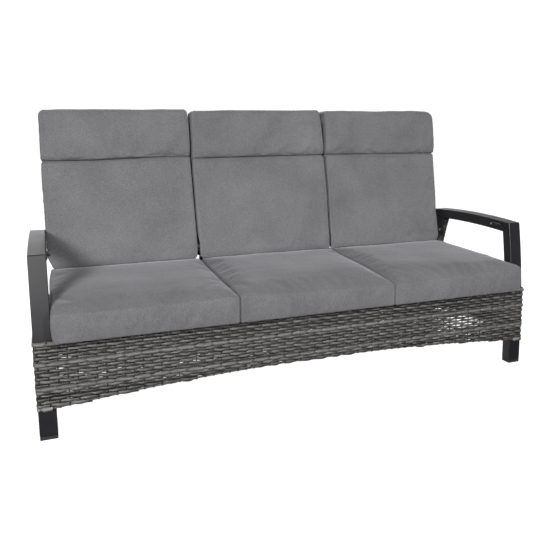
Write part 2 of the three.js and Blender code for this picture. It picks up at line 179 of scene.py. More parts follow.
def round_rect(w, h, r, k=3):
    pts = []
    for cx, cy, a0 in ((w / 2 - r, h / 2 - r, 0), (-w / 2 + r, h / 2 - r, 90), (-w / 2 + r, -h / 2 + r, 180), (w / 2 - r, -h / 2 + r, 270)):
        for i in range(k + 1):
            a = math.radians(a0 + 90 * i / k)
            pts.append((cx + r * math.cos(a), cy + r * math.sin(a)))
    return np.array(pts)


# ---- materials ----
def material(name, rough=0.5, metallic=0.0, specular=0.5, **sockets):
    m = bpy.data.materials.new(name)
    m.use_nodes = True
    nt = m.node_tree
    b = nt.nodes["Principled BSDF"]
    b.inputs["Roughness"].default_value = rough
    b.inputs["Metallic"].default_value = metallic
    b.inputs["Specular IOR Level"].default_value = specular
    for k, val in sockets.items():
        b.inputs[k.replace("_", " ")].default_value = val
    return m, nt, b


def node(nt, kind, inputs=None, **props):
    n = nt.nodes.new(kind)
    for k, val in props.items():
        setattr(n, k, val)
    for k, val in (inputs or {}).items():
        if isinstance(val, bpy.types.NodeSocket):
            nt.links.new(val, n.inputs[k])
        else:
            n.inputs[k].default_value = val
    return n


def maths(nt, op, a, b=None, c=None):
    n = nt.nodes.new("ShaderNodeMath")
    n.operation = op
    for i, x in enumerate((a, b, c)):
        if x is None:
            continue
        if isinstance(x, bpy.types.NodeSocket):
            nt.links.new(x, n.inputs[i])
        else:
            n.inputs[i].default_value = x
    return n.outputs[0]


def ramp(nt, fac, stops, interpolation="LINEAR"):
    n = nt.nodes.new("ShaderNodeValToRGB")
    n.color_ramp.interpolation = interpolation
    e = n.color_ramp.elements
    e[0].position, e[0].color = stops[0][0], (*stops[0][1], 1)
    e[1].position, e[1].color = stops[-1][0], (*stops[-1][1], 1)
    for pos, col in stops[1:-1]:
        x = e.new(pos)
        x.color = (*col, 1)
    nt.links.new(fac, n.inputs[0])
    return n.outputs[0]


def span(nt, value, a, b, c, d):
    n = nt.nodes.new("ShaderNodeMapRange")
    n.clamp = True
    nt.links.new(value, n.inputs[0])
    for i, x in enumerate((a, b, c, d)):
        n.inputs[1 + i].default_value = x
    return n.outputs[0]


def scaled(nt, vec, x, y, z):
    n = node(nt, "ShaderNodeVectorMath", {0: vec}, operation="MULTIPLY")
    n.inputs[1].default_value = (x, y, z)
    return n.outputs[0]


def noise(nt, vec, scale, detail=2.0, rough=0.5, out="Fac"):
    n = node(nt, "ShaderNodeTexNoise", {"Vector": vec, "Scale": scale, "Detail": detail, "Roughness": rough})
    return n.outputs[out]


def bump(nt, b, height, strength, distance, normal=None):
    n = node(nt, "ShaderNodeBump", {"Height": height, "Strength": strength, "Distance": distance})
    if normal is not None:
        nt.links.new(normal, n.inputs["Normal"])
    if b is not None:
        nt.links.new(n.outputs[0], b.inputs["Normal"])
    return n.outputs[0]


def paint(name, low, high, rough_low, rough_high, metallic):
    """Powder-coated metal: fine orange-peel skin, faint cloudiness in tone and gloss."""
    m, nt, b = material(name, metallic=metallic, specular=0.5)
    co = node(nt, "ShaderNodeTexCoord").outputs["Object"]
    cloud = noise(nt, co, 9.0, 3.0, 0.6)
    fine = noise(nt, co, 1400.0, 2.0, 0.6)
    grain = noise(nt, co, 420.0, 3.0, 0.55)
    tone = maths(nt, "ADD", maths(nt, "MULTIPLY", cloud, 0.6), maths(nt, "MULTIPLY", fine, 0.4))
    nt.links.new(ramp(nt, tone, [(0.3, low), (0.7, high)]), b.inputs["Base Color"])
    nt.links.new(span(nt, maths(nt, "ADD", maths(nt, "MULTIPLY", cloud, 0.5), maths(nt, "MULTIPLY", grain, 0.5)), 0.3, 0.7, rough_low, rough_high), b.inputs["Roughness"])
    n1 = bump(nt, None, grain, 0.35, 0.00012)
    bump(nt, b, fine, 0.25, 0.00005, n1)
    return m


PAINT = paint("frame_paint", (0.0085, 0.0085, 0.0098), (0.0125, 0.0125, 0.0142), 0.30, 0.40, 0.0)
PAINT_DARK = paint("inner_paint", (0.009, 0.009, 0.010), (0.014, 0.014, 0.0155), 0.38, 0.50, 0.0)


def wicker(name, shift=0.0, lift=1.0):
    """Streaked plastic cane: each strand has its own tone, with streaks and fine grooves along it."""
    m, nt, b = material(name, specular=0.42)
    at = node(nt, "ShaderNodeAttribute", attribute_name="strand").outputs["Vector"]
    sep = node(nt, "ShaderNodeSeparateXYZ", {0: at})
    s, r, t = sep.outputs
    vec = node(nt, "ShaderNodeCombineXYZ", {0: maths(nt, "MULTIPLY", s, 9.0), 1: maths(nt, "MULTIPLY", r, 61.0), 2: maths(nt, "MULTIPLY", t, 5.0)}).outputs[0]
    slow = noise(nt, vec, 1.0, 3.0, 0.6)
    vec2 = node(nt, "ShaderNodeCombineXYZ", {0: maths(nt, "MULTIPLY", s, 55.0), 1: maths(nt, "MULTIPLY", r, 37.0), 2: maths(nt, "MULTIPLY", t, 26.0)}).outputs[0]
    streak = noise(nt, vec2, 1.0, 3.0, 0.65)
    own = maths(nt, "FRACT", maths(nt, "MULTIPLY", r, 7.31))
    f = maths(nt, "ADD", maths(nt, "MULTIPLY", slow, 0.45), maths(nt, "MULTIPLY", streak, 0.40))
    f = maths(nt, "ADD", f, maths(nt, "MULTIPLY", own, 0.22))
    # whole numbers in the strand's own value mark thick strands (1) and edged ribbons (2)
    edged = maths(nt, "GREATER_THAN", r, 2.0)
    thick = maths(nt, "SUBTRACT", maths(nt, "GREATER_THAN", r, 1.0), edged)
    f = maths(nt, "ADD", f, maths(nt, "MULTIPLY_ADD", thick, 0.20, shift))
    # the set-back flanges and backs of the edged ribbons are painted darker: painted shade in the recesses between the
    # strands
    recess_shade = span(nt, maths(nt, "ABSOLUTE", maths(nt, "SUBTRACT", t, 0.375)), 0.215, 0.30, 0.0, 0.24)
    f = maths(nt, "SUBTRACT", f, maths(nt, "MULTIPLY", recess_shade, edged))
    col = ramp(nt, f, [
        (0.30, (0.020 * lift, 0.019 * lift, 0.019 * lift)),
        (0.44, (0.070 * lift, 0.066 * lift, 0.063 * lift)),
        (0.56, (0.150 * lift, 0.144 * lift, 0.135 * lift)),
        (0.68, (0.240 * lift, 0.232 * lift, 0.220 * lift)),
        (0.80, (0.330 * lift, 0.322 * lift, 0.308 * lift)),
    ])
    nt.links.new(col, b.inputs["Base Color"])
    nt.links.new(span(nt, streak, 0.3, 0.7, 0.36, 0.56), b.inputs["Roughness"])
    vec3 = node(nt, "ShaderNodeCombineXYZ", {0: maths(nt, "MULTIPLY", s, 20.0), 1: maths(nt, "MULTIPLY", r, 13.0), 2: maths(nt, "MULTIPLY", t, 70.0)}).outputs[0]
    bump(nt, b, noise(nt, vec3, 1.0, 2.0, 0.6), 0.5, 0.0004)
    return m


WICKER = wicker("wicker_cane", -0.02, 0.46)
# the uprights get a darker copy of the same cane: painted shade for uprights that sit back among the strands
STAKE_SHADED = wicker("wicker_stake_shaded", -0.08, 0.30)


def cloth(name, stretch, tone=1.0):
    """Plain-woven outdoor cloth in mottled grey, with slubs along one yarn direction and a soft nap."""
    m, nt, b = material(name, rough=0.92, specular=0.18, Sheen_Weight=0.22, Sheen_Roughness=0.45)
    b.inputs["Sheen Tint"].default_value = (0.8, 0.8, 0.84, 1)
    co = node(nt, "ShaderNodeTexCoord").outputs["Object"]
    slub = noise(nt, scaled(nt, co, *stretch), 1.0, 4.0, 0.62)
    fleck = noise(nt, co, 620.0, 2.0, 0.6)
    cloud = noise(nt, co, 7.0, 3.0, 0.55)
    f = maths(nt, "ADD", maths(nt, "MULTIPLY", slub, 0.42), maths(nt, "MULTIPLY", fleck, 0.40))
    f = maths(nt, "ADD", f, maths(nt, "MULTIPLY", cloud, 0.18))
    col = ramp(nt, f, [
        (0.36, tuple(x * tone for x in (0.070, 0.070, 0.073))),
        (0.50, tuple(x * tone for x in (0.111, 0.109, 0.114))),
        (0.64, tuple(x * tone for x in (0.156, 0.154, 0.159))),
    ])
    nt.links.new(col, b.inputs["Base Color"])
    # the weave itself: over and under at 2.2 mm, read from the two axes that lie in the surface
    sep = node(nt, "ShaderNodeSeparateXYZ", {0: scaled(nt, co, 2856.0, 2856.0, 2856.0)})
    sx, sy, sz = (maths(nt, "SINE", o) for o in sep.outputs)
    nrm = node(nt, "ShaderNodeSeparateXYZ", {0: node(nt, "ShaderNodeNewGeometry").outputs["True Normal"]})
    nx, ny, nz = (maths(nt, "ABSOLUTE", o) for o in nrm.outputs)
    wv = maths(nt, "MULTIPLY", maths(nt, "MULTIPLY", sx, sz), ny)
    wv = maths(nt, "ADD", wv, maths(nt, "MULTIPLY", maths(nt, "MULTIPLY", sx, sy), nz))
    wv = maths(nt, "ADD", wv, maths(nt, "MULTIPLY", maths(nt, "MULTIPLY", sy, sz), nx))
    n1 = bump(nt, None, wv, 0.16, 0.0003)
    n2 = bump(nt, None, slub, 0.30, 0.0006, n1)
    bump(nt, b, fleck, 0.22, 0.0003, n2)
    return m


CLOTH_BACK = cloth("cushion_cloth_back", (150.0, 300.0, 320.0))
# the seat cushions use a darker copy of the same cloth: painted shade to offset the stronger light on their tops
CLOTH_SEAT_SHADED = cloth("cushion_cloth_seat_shaded", (320.0, 140.0, 150.0), 0.93)
# the seam thread is a darker copy of the cloth: painted shade down in the sunk seam line
SEAM_SHADED = cloth("cushion_seam_shaded", (200.0, 200.0, 200.0), 0.80)


def plain(name, low, high, rough_low, rough_high, metallic, scale, strength):
    m, nt, b = material(name, metallic=metallic)
    co = node(nt, "ShaderNodeTexCoord").outputs["Object"]
    f = noise(nt, co, scale, 3.0, 0.6)
    nt.links.new(ramp(nt, f, [(0.3, low), (0.7, high)]), b.inputs["Base Color"])
    nt.links.new(span(nt, f, 0.3, 0.7, rough_low, rough_high), b.inputs["Roughness"])
    bump(nt, b, noise(nt, co, scale * 4, 2.0, 0.6), strength, 0.0001)
    return m


STEEL = plain("zinc_steel", (0.42, 0.41, 0.39), (0.62, 0.61, 0.58), 0.28, 0.45, 1.0, 160.0, 0.2)
PLASTIC = plain("black_plastic", (0.012, 0.012, 0.013), (0.022, 0.022, 0.024), 0.42, 0.6, 0.0, 500.0, 0.35)

SLOT_MATERIAL = {"frame_paint": PAINT, "inner_paint": PAINT_DARK, "wicker": WICKER, "cushion_cloth": CLOTH_BACK, "steel": STEEL, "black_plastic": PLASTIC}
NODE_SLOT = {s["node"]: s["material_slot"] for s in frame["record"]["subparts"]}
for n, o in frame["nodes"].items():
    mat = SLOT_MATERIAL[NODE_SLOT[n]]
    if not o.material_slots:
        o.data.materials.append(mat)
    for sl in o.material_slots:
        sl.material = mat


def settle(o, cad):
    """o stands for the CAD node and rides on its body."""
    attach(o, BODY_OF[cad])
    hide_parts(cad)
    return o


# ---- arms and posts: smooth bent box profiles with rounded long edges ----
def side_solid(name, outline, x0, x1, mat, bevel=2.5, segments=3, limit=25):
    """A closed (y, z) outline, counter-clockwise, extruded along x, with rounded edges."""
    p = np.asarray(outline, float)
    n = len(p)
    lo, hi = min(x0, x1), max(x0, x1)
    verts = np.vstack([np.c_[np.full(n, lo), p], np.c_[np.full(n, hi), p]])
    i = np.arange(n)
    j = (i + 1) % n
    sides = np.stack([i, j, j + n, i + n], 1)
    o = mesh_object(name, verts, [sides, i[::-1][None, :], (i + n)[None, :]], mat)
    if bevel:
        b = o.modifiers.new("Round", "BEVEL")
        b.width = bevel * MM
        b.segments = segments
        b.limit_method = "ANGLE"
        b.angle_limit = math.radians(limit)
        b.harden_normals = False
        b.use_clamp_overlap = True
    w = o.modifiers.new("Shade", "WEIGHTED_NORMAL")
    w.keep_sharp = False
    return o


corner_z = 594.0
for _ in range(30):
    corner_z = arm_top(post_front(corner_z))
corner_y = post_front(corner_z)
inner_z = 554.0
for _ in range(30):
    inner_z = arm_top(post_front(inner_z) + ARM_T) - ARM_T
inner_y = post_front(inner_z) + ARM_T


def post_outline():
    zr = np.linspace(12.3, inner_z - 6, 46)
    zf = np.linspace(12.3, corner_z - 6, 50)
    back = [(post_front(z) + ARM_T, z) for z in zr]
    front = [(post_front(z), z) for z in zf]
    return back + [(inner_y, inner_z), (corner_y, corner_z)] + front[::-1]


def arm_outline():
    off = 0.27
    low = [(y, arm_top(y) - ARM_T) for y in np.linspace(inner_y + 8, 549, 44)]
    top = [(y, arm_top(y)) for y in np.linspace(549, corner_y + 8, 48)]
    return [(inner_y + off, inner_z + off)] + low + top + [(corner_y + off, corner_z + off)]


def rear_outline():
    f = lambda z: wrap_front(z) + 3.5
    under = lambda y: arm_top(y) - ARM_T - 0.3
    zb, zf = under(f(566) + 28), under(f(566))
    zs = np.linspace(12.3, zf - 8, 42)
    return [(f(z) + 28, z) for z in zs] + [(f(zb) + 28, zb), (f(zf), zf)] + [(f(z), z) for z in zs][::-1]


for side, s in (("left", -1), ("right", 1)):
    settle(side_solid(f"arm_post_{side}", post_outline(), s * IN_X, s * HALF_W, PAINT, 3.0), f"front_post_{side}")
    arm = side_solid(f"arm_top_{side}", arm_outline(), s * IN_X, s * HALF_W, PAINT, 3.0)
    settle(arm, f"armrest_{side}")
    # screw that carries the release lever
    x_in = s * IN_X
    b = Bundle()
    for r, x0, x1 in ((3.0, x_in + s * 4, x_in - s * 11.8), (5.2, x_in - s * 11.7, x_in - s * 13.4)):
        c = np.array([(x0, 128, 582), (x1, 128, 582)], float)
        b.add(c, np.tile((0, 1, 0), (2, 1)), np.tile((0, 0, 1), (2, 1)), ellipse(r, r, 24))
    screw = b.object(f"lever_screw_{side}", STEEL)
    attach(screw, "frame")
    settle(side_solid(f"rear_leg_{side}", rear_outline(), s * (WRAP_IN + 3.5), s * (HALF_W - 3.5), PAINT, 2.5), f"rear_post_{side}")


# ---- woven cane ----
PITCH = 1890.0 / 64
MID = 8.65


def flat_profile(h, t=1.7):
    """Half-moon ribbon with thin edges: a is up, b is outward."""
    return np.array([(-h, 0.0), (-0.84 * h, 0.30 * t), (-0.58 * h, 0.78 * t), (-0.2 * h, t), (0.2 * h, t), (0.58 * h, 0.78 * t), (0.84 * h, 0.30 * t), (h, 0.0), (0.5 * h, -0.3 * t), (-0.5 * h, -0.3 * t)])


def edged_profile(h, w):
    """Half-moon ribbon with a thin edge set back on both sides: a is up, b is outward."""
    return np.array([(-w, -1.5), (-h, -0.8), (-0.93 * h, 0.55), (-0.64 * h, 1.45), (-0.22 * h, 2.0), (0.22 * h, 2.0),
                     (0.64 * h, 1.45), (0.93 * h, 0.55), (h, -0.8), (w, -1.5), (0.5 * h, -2.1), (-0.5 * h, -2.1)])


def thick_profile(h, t):
    a = np.radians([-90, -60, -30, 0, 30, 60, 90])
    p = [(h * math.sin(x), t * math.cos(x)) for x in a]
    return np.array([(-1.42 * h, -1.3)] + p + [(1.42 * h, -1.3), (0.5 * h, -1.9), (-0.5 * h, -1.9)])


def cane_rows():
    """(z, kind) from the top edge down."""
    rows = [(316.3, "thick")]
    rows += [(305.2 - 11.0 * i, "flat") for i in range(5)]
    rows += [(250.0, "thick")]
    rows += [(238.6 - 11.5 * i, "flat") for i in range(6)]
    rows += [(170.0, "thick")]
    rows += [(158.8 - 11.1 * i, "flat") for i in range(5)]
    rows += [(103.6, "thick")]
    return rows


def weave(name, place, u0, u1, stakes, z_low, seed, body_nodes, open_at, border_u=None, fold=True):
    """place(u, out, z) turns row coordinates into space. stakes are the u of the uprights. z_low(u) is the lower edge."""
    rng = np.random.default_rng(seed)
    cane, ups = Bundle(), Bundle()
    rough = Waves(seed + 1, 10, 60, 400)
    pitch = stakes[1] - stakes[0]
    amp = 2.35
    for r, (z, kind) in enumerate(cane_rows()):
        n = int((u1 - u0) / (pitch / 9)) + 1
        u = np.linspace(u0, u1, n)
        half = 5.6
        keep = z_low(u) < z - half + 3.0
        edges = np.flatnonzero(np.diff(keep.astype(int)))
        pieces = []
        start = 0
        for e in list(edges) + [n - 1]:
            if keep[start]:
                pieces.append((start, e + 1 if e < n - 1 else n))
            start = e + 1
        for a, b in pieces:
            if b - a < 8:
                continue
            x = u[a:b]
            ph = (x - stakes[0]) / pitch
            par = r % 2
            if kind == "flat":
                wave = np.cos(math.pi * (ph + par))
                off = amp * np.sign(wave) * np.abs(wave) ** 0.75
            else:
                # over one upright and quickly behind the next
                d = np.abs(((ph + par + 1) / 2.0) % 1.0 - 0.0)
                d = np.minimum(d, 1 - d) * 2 * pitch
                off = 3.1 - 5.7 * np.exp(-(d / 6.2) ** 2)
            pts = np.c_[x, np.full(len(x), r * 37.0), np.full(len(x), z)]
            zz = z + 0.38 * rough(pts)
            zz = zz + (0.6 * np.cos(math.pi * (ph + par + 0.5)) if kind == "flat" else 0.0)
            off = off + 0.22 * rough(pts + 911)
            centre = place(x, off, zz)
            up = np.tile((0.0, 0.0, 1.0), (len(x), 1))
            out = place(x, off + 1.0, zz) - centre
            tilt = (0.20 * rough(pts * np.array([3.0, 1, 1]) + 300) + (0.26 * np.sin(math.pi * (ph + par)) if kind == "flat" else 0.0))[:, None]
            uu = up * np.cos(tilt) + out * np.sin(tilt)
            vv = out * np.cos(tilt) - up * np.sin(tilt)
            if kind == "flat":
                gap = np.zeros(len(x))
                for gu, gz, su, sz, depth in open_at:
                    gap += depth * np.exp(-((x - gu) / su) ** 2 - ((z - gz) / sz) ** 2)
                gap += 0.02 * np.clip(rough(pts * 0.7 + 77), 0, 2)
                h = 1.0 - np.clip(gap, 0, 0.40)
                prof = np.stack([edged_profile(5.0, 7.4)] * len(x))
                prof[:, :, 0] *= h[:, None]
            else:
                prof = thick_profile(5.9, 4.6)
            cane.add(centre, uu, vv, prof, rand=rng.uniform(0, 1) + (1.0 if kind == "thick" else 2.0), s0=rng.uniform(0, 3))
    # uprights
    for x in stakes:
        zs = np.linspace(float(z_low(np.array([x]))[0]) + 3.5, 320.0, 12)
        c = place(np.full(12, x), np.full(12, -0.25), zs)
        out = place(np.full(12, x), np.full(12, 0.75), zs) - c
        side = np.cross(out, np.tile((0.0, 0.0, 1.0), (12, 1)))
        ups.add(c, side, out, ellipse(2.35, 1.75, 8), rand=rng.uniform(0, 1), s0=rng.uniform(0, 3))
        if fold:
            # the end of the upright bends over the top strand
            a = np.linspace(-1.5, 1.5, 9)
            zf = 318.6 + 3.6 * np.cos(a)
            of = 4.6 * np.sin(a) + 0.2
            c = place(np.full(9, x), of, zf)
            d = np.gradient(c, axis=0)
            d /= np.linalg.norm(d, axis=1)[:, None]
            out0 = place(np.full(9, x), of + 1, zf) - c
            side = np.cross(out0, np.tile((0.0, 0.0, 1.0), (9, 1)))
            nv = np.cross(d, side)
            ups.add(c, side, nv, ellipse(2.3, 1.2, 8), rand=rng.uniform(0, 1))
    # edging along the lower edge, bound at each upright
    bu = border_u or (u0, u1)
    n = int((bu[1] - bu[0]) / 6) + 1
    x = np.linspace(bu[0], bu[1], n)
    zb = z_low(x) + 3.9
    ph = (x - stakes[0]) / pitch
    c = place(x, 0.35 * np.cos(2 * math.pi * ph), zb)
    d = np.gradient(c, axis=0)
    d /= np.linalg.norm(d, axis=1)[:, None]
    out = place(x, 1.0 + 0.35 * np.cos(2 * math.pi * ph), zb) - c
    upv = np.cross(out, d)
    upv /= np.linalg.norm(upv, axis=1)[:, None]
    upv *= np.sign(upv[:, 2:3])
    cane.add(c, upv, out, ellipse(3.4, 3.1, 10), rand=rng.uniform(0, 1))
    for x in stakes:
        zc = float(z_low(np.array([x]))[0]) + 3.9
        a = np.linspace(0, 2 * math.pi, 13)[:-1]
        c = place(np.full(12, x), 3.9 * np.cos(a), zc + 4.3 * np.sin(a))
        cen = place(np.full(12, x), np.zeros(12), np.full(12, zc))
        nv = c - cen
        nv /= np.linalg.norm(nv, axis=1)[:, None]
        side = np.cross(place(np.full(12, x), np.ones(12), np.full(12, zc)) - cen, np.tile((0.0, 0.0, 1.0), (12, 1)))
        ups.add(c, side, nv, ellipse(3.3, 0.55, 6), rand=rng.uniform(0, 1), closed=True)
    o = cane.object(name, WICKER)
    settle(o, body_nodes[0])
    k = ups.object(name + "_uprights", STAKE_SHADED)
    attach(k, "frame")
    return o


def place_front(u, out, z):
    """Along x, with both ends turned round the corner."""
    u, out, z = np.broadcast_arrays(np.asarray(u, float), np.asarray(out, float), np.asarray(z, float))
    xs, rad = 948.3, 6.2
    s = np.sign(u)
    over = np.maximum(0.0, np.abs(u) - xs)
    ang = np.minimum(over / rad, math.pi / 2)
    rest = np.maximum(0.0, over - rad * math.pi / 2)
    out = out * (1 - 0.7 * smoothstep(0.0, 9.0, over))
    cy = -MID + rad
    r = rad + out
    x = np.where(over > 0, s * (xs + r * np.sin(ang)), u)
    y = np.where(over > 0, cy - r * np.cos(ang) + rest, -MID - out)
    return np.stack([x, y, z], -1)


def place_rear(u, out, z):
    p = place_front(u, out, z)
    p[..., 1] = 649.2 - p[..., 1]
    return p


def front_low(u):
    return 98.0 + 46.0 * np.maximum(0.0, 1 - (np.asarray(u, float) / 940.0) ** 2)


stakes = np.arange(65) * PITCH - 945.0
SPARKLE = [  # u, z, spread in u, spread in z, openness
    (-868, 272, 34, 60, 0.30), (-868, 140, 30, 30, 0.14), (-700, 300, 150, 10, 0.26), (-420, 296, 90, 10, 0.20),
    (560, 268, 120, 30, 0.30), (640, 205, 130, 38, 0.31), (770, 236, 80, 42, 0.26), (690, 150, 100, 18, 0.22),
]
weave("woven_apron_front", place_front, -961.5, 961.5, stakes, front_low, 11, ["apron_front"], SPARKLE)
weave("woven_apron_rear", place_rear, -961.5, 961.5, stakes, front_low, 23, ["apron_rear"], [(-300, 220, 200, 50, 0.1), (500, 200, 150, 50, 0.14)])


def side_low(y):
    return 98.0 + 20.0 * np.maximum(0.0, 1 - ((np.asarray(y, float) - 325.0) / 330.0) ** 2)


for side, s in (("left", -1), ("right", 1)):
    def place_side(u, out, z, s=s):
        u, out, z = np.broadcast_arrays(np.asarray(u, float), np.asarray(out, float), np.asarray(z, float))
        return np.stack([s * (954.9 + 0.5 * out), u, z], -1)

    st = np.linspace(3.5, 645.7, 23)
    weave(f"woven_apron_{side}", place_side, 1.5, 647.7, st, side_low, 31 + s, [f"apron_{side}"], [(300, 230, 120, 50, 0.12)])


# ---- wound and woven wrap of the rear posts ----
def post_wrap(side, s):
    rng = np.random.default_rng(50 + s)
    cane, ups = Bundle(), Bundle()
    w, d = HALF_W - WRAP_IN - 3.4, 31.6
    xc = s * (WRAP_IN + HALF_W) / 2
    path = round_rect(w, d, 4.5, 3)
    ring = np.vstack([path, path[:1]])
    seg = np.linalg.norm(np.diff(ring, axis=0), axis=1)
    cum = np.concatenate([[0], np.cumsum(seg)])
    m = 56
    t = np.linspace(0, cum[-1], m, endpoint=False)
    px = np.interp(t, cum, ring[:, 0])
    py = np.interp(t, cum, ring[:, 1])
    tang = np.roll(np.c_[px, py], -1, 0) - np.roll(np.c_[px, py], 1, 0)
    tang /= np.linalg.norm(tang, axis=1)[:, None]
    nrm = np.c_[tang[:, 1], -tang[:, 0]]
    for i, z in enumerate(np.arange(335.0, 561.5, 9.3)):
        slope = (wrap_front(z + 4) - wrap_front(z - 4)) / 8
        wob = 0.9 * np.cos(2 * math.pi * t / cum[-1] * 7 + math.pi * i) + 0.3
        x = xc + px + nrm[:, 0] * wob
        zz = z + 0.7 * np.sin(2 * math.pi * t / cum[-1] + i)
        yy = wrap_front(z) + 17.5 + py + nrm[:, 1] * wob + slope * (zz - z)
        out = np.c_[nrm, np.zeros(m)]
        up = np.tile((0.0, slope, 1.0), (m, 1))
        up /= np.linalg.norm(up, axis=1)[:, None]
        cane.add(np.c_[x, yy, zz], up, out, flat_profile(4.8, 1.25), rand=rng.uniform(0, 1), closed=True, s0=rng.uniform(0, 2))
    for k in range(7):
        j = int((k + 0.5) / 7 * m) % m
        zs = np.linspace(331, 562, 30)
        c = np.c_[np.full(30, xc + px[j] + nrm[j, 0] * 0.2), [wrap_front(z) + 17.5 + py[j] + nrm[j, 1] * 0.2 for z in zs], zs]
        d_ = np.gradient(c, axis=0)
        d_ /= np.linalg.norm(d_, axis=1)[:, None]
        out = np.tile((nrm[j, 0], nrm[j, 1], 0.0), (30, 1))
        sd = np.cross(out, d_)
        ups.add(c, sd, out, ellipse(1.7, 1.1, 8), rand=rng.uniform(0, 1))
    settle(cane.object(f"woven_post_{side}", WICKER), f"post_wrap_{side}")
    k = ups.object(f"woven_post_uprights_{side}", STAKE_SHADED)
    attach(k, "frame")


for side, s in (("left", -1), ("right", 1)):
    post_wrap(side, s)


# ---- backs: bent tube frames with woven panels ----
def to_back(v):
    """Local x, depth behind the frame's front face, height along the back: into space."""
    v = np.asarray(v, float)
    c, s = math.cos(LEAN), math.sin(LEAN)
    return np.stack([v[..., 0], BACK_Y + v[..., 1] * c + v[..., 2] * s, BACK_Z - v[..., 1] * s + v[..., 2] * c], -1)


def loop_path(x0, x1, z0, z1, r_low, r_top, k=10):
    pts = []
    for cx, cz, a0, r in ((x1 - r_low, z0 + r_low, -90, r_low), (x1 - r_top, z1 - r_top, 0, r_top), (x0 + r_top, z1 - r_top, 90, r_top), (x0 + r_low, z0 + r_low, 180, r_low)):
        for i in range(k + 1):
            a = math.radians(a0 + 90 * i / k)
            pts.append((cx + r * math.cos(a), cz + r * math.sin(a), math.cos(a), math.sin(a)))
    return np.array(pts)


def back_frame(side, x0, x1):
    h = TUBE / 2
    p = loop_path(x0 + h, x1 - h, h, BACK_L - h, 22 - h, 50 - h)
    c = np.c_[p[:, 0], np.full(len(p), h), p[:, 1]]
    u = np.c_[p[:, 2], np.zeros(len(p)), p[:, 3]]
    v = np.tile((0.0, 1.0, 0.0), (len(p), 1))
    b = Bundle()
    b.add(c, u, v, round_rect(TUBE, TUBE, 4.0, 3)[::-1], closed=True)
    o = b.object(f"back_tube_{side}", PAINT, to_back)
    w = o.modifiers.new("Shade", "WEIGHTED_NORMAL")
    return o


def back_weave(side, x0, x1, seed):
    rng = np.random.default_rng(seed)
    t = TUBE + 0.4
    ax0, ax1, az0, az1 = x0 + t, x1 - t, t, BACK_L - t
    r_low, r_top = 9.0, 29.0

    def half_cut(z):
        """How much the rounded corners take from each end of a row."""
        cut = 0.0
        if z < az0 + r_low:
            q = az0 + r_low - z
            cut = r_low - math.sqrt(max(0.0, r_low ** 2 - q * q))
        if z > az1 - r_top:
            q = z - (az1 - r_top)
            cut = r_top - math.sqrt(max(0.0, r_top ** 2 - q * q))
        return cut

    n_st = int(round((ax1 - ax0) / 29.5))
    pitch = (ax1 - ax0) / n_st
    stakes = ax0 + pitch * (np.arange(n_st) + 0.5)
    rows = np.arange(az0 + 5.6, az1 - 4, 11.2)
    rough = Waves(seed, 10, 60, 400)
    cane, ups = Bundle(), Bundle()
    for i, z in enumerate(rows):
        cut = half_cut(z + (5.2 if z > (az0 + az1) / 2 else -5.2))
        a, b = ax0 + cut + 0.4, ax1 - cut - 0.4
        n = int((b - a) / (pitch / 8))
        x = np.linspace(a, b, n)
        ph = (x - stakes[0]) / pitch
        thick = i % 6 == 3
        if thick:
            d = np.abs(((ph + i % 2 + 1) / 2.0) % 1.0)
            d = np.minimum(d, 1 - d) * 2 * pitch
            off = 2.2 - 4.6 * np.exp(-(d / 6.2) ** 2)
        else:
            wv = np.cos(math.pi * (ph + i % 2))
            off = 2.2 * np.sign(wv) * np.abs(wv) ** 0.75
        pts = np.c_[x, np.full(n, i * 31.0), np.full(n, z)]
        zz = z + 0.5 * rough(pts)
        dep = 12.0 + off + 0.2 * rough(pts + 500)
        up = np.tile((0.0, 0.0, 1.0), (n, 1))
        out = np.tile((0.0, 1.0, 0.0), (n, 1))
        tilt = (0.2 * rough(pts * 3 + 300))[:, None]
        prof = thick_profile(5.4, 3.6) if thick else flat_profile(5.62, 1.6)
        cane.add(np.c_[x, dep, zz], up * np.cos(tilt) + out * np.sin(tilt), out * np.cos(tilt) - up * np.sin(tilt), prof, rand=rng.uniform(0, 1), s0=rng.uniform(0, 3))
    for x in stakes:
        edge = min(x - ax0, ax1 - x)
        top = az1 - 0.4 - (r_top - math.sqrt(max(0.0, r_top ** 2 - max(0.0, r_top - edge) ** 2)))
        zs = np.linspace(az0 + 0.4 + (2 if edge < 9 else 0), top, 14)
        c = np.c_[np.full(14, x), np.full(14, 12.0), zs]
        ups.add(c, np.tile((1.0, 0.0, 0.0), (14, 1)), np.tile((0.0, 1.0, 0.0), (14, 1)), ellipse(2.3, 1.7, 8), rand=rng.uniform(0, 1))
    return cane.object(f"woven_back_{side}", WICKER, to_back), ups.object(f"woven_back_uprights_{side}", STAKE_SHADED, to_back)


for i, (side, x0, x1) in enumerate((("left", -885.4, -307.0), ("middle", -293.0, 293.0), ("right", 307.0, 885.4))):
    body = BODY_OF[f"back_cushion_{side}"]
    if side != "middle":
        settle(back_frame(side, x0, x1), f"back_frame_{side}")
    a, b = back_weave(side, x0, x1, 70 + i)
    settle(a, f"back_panel_{side}")
    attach(b, body)

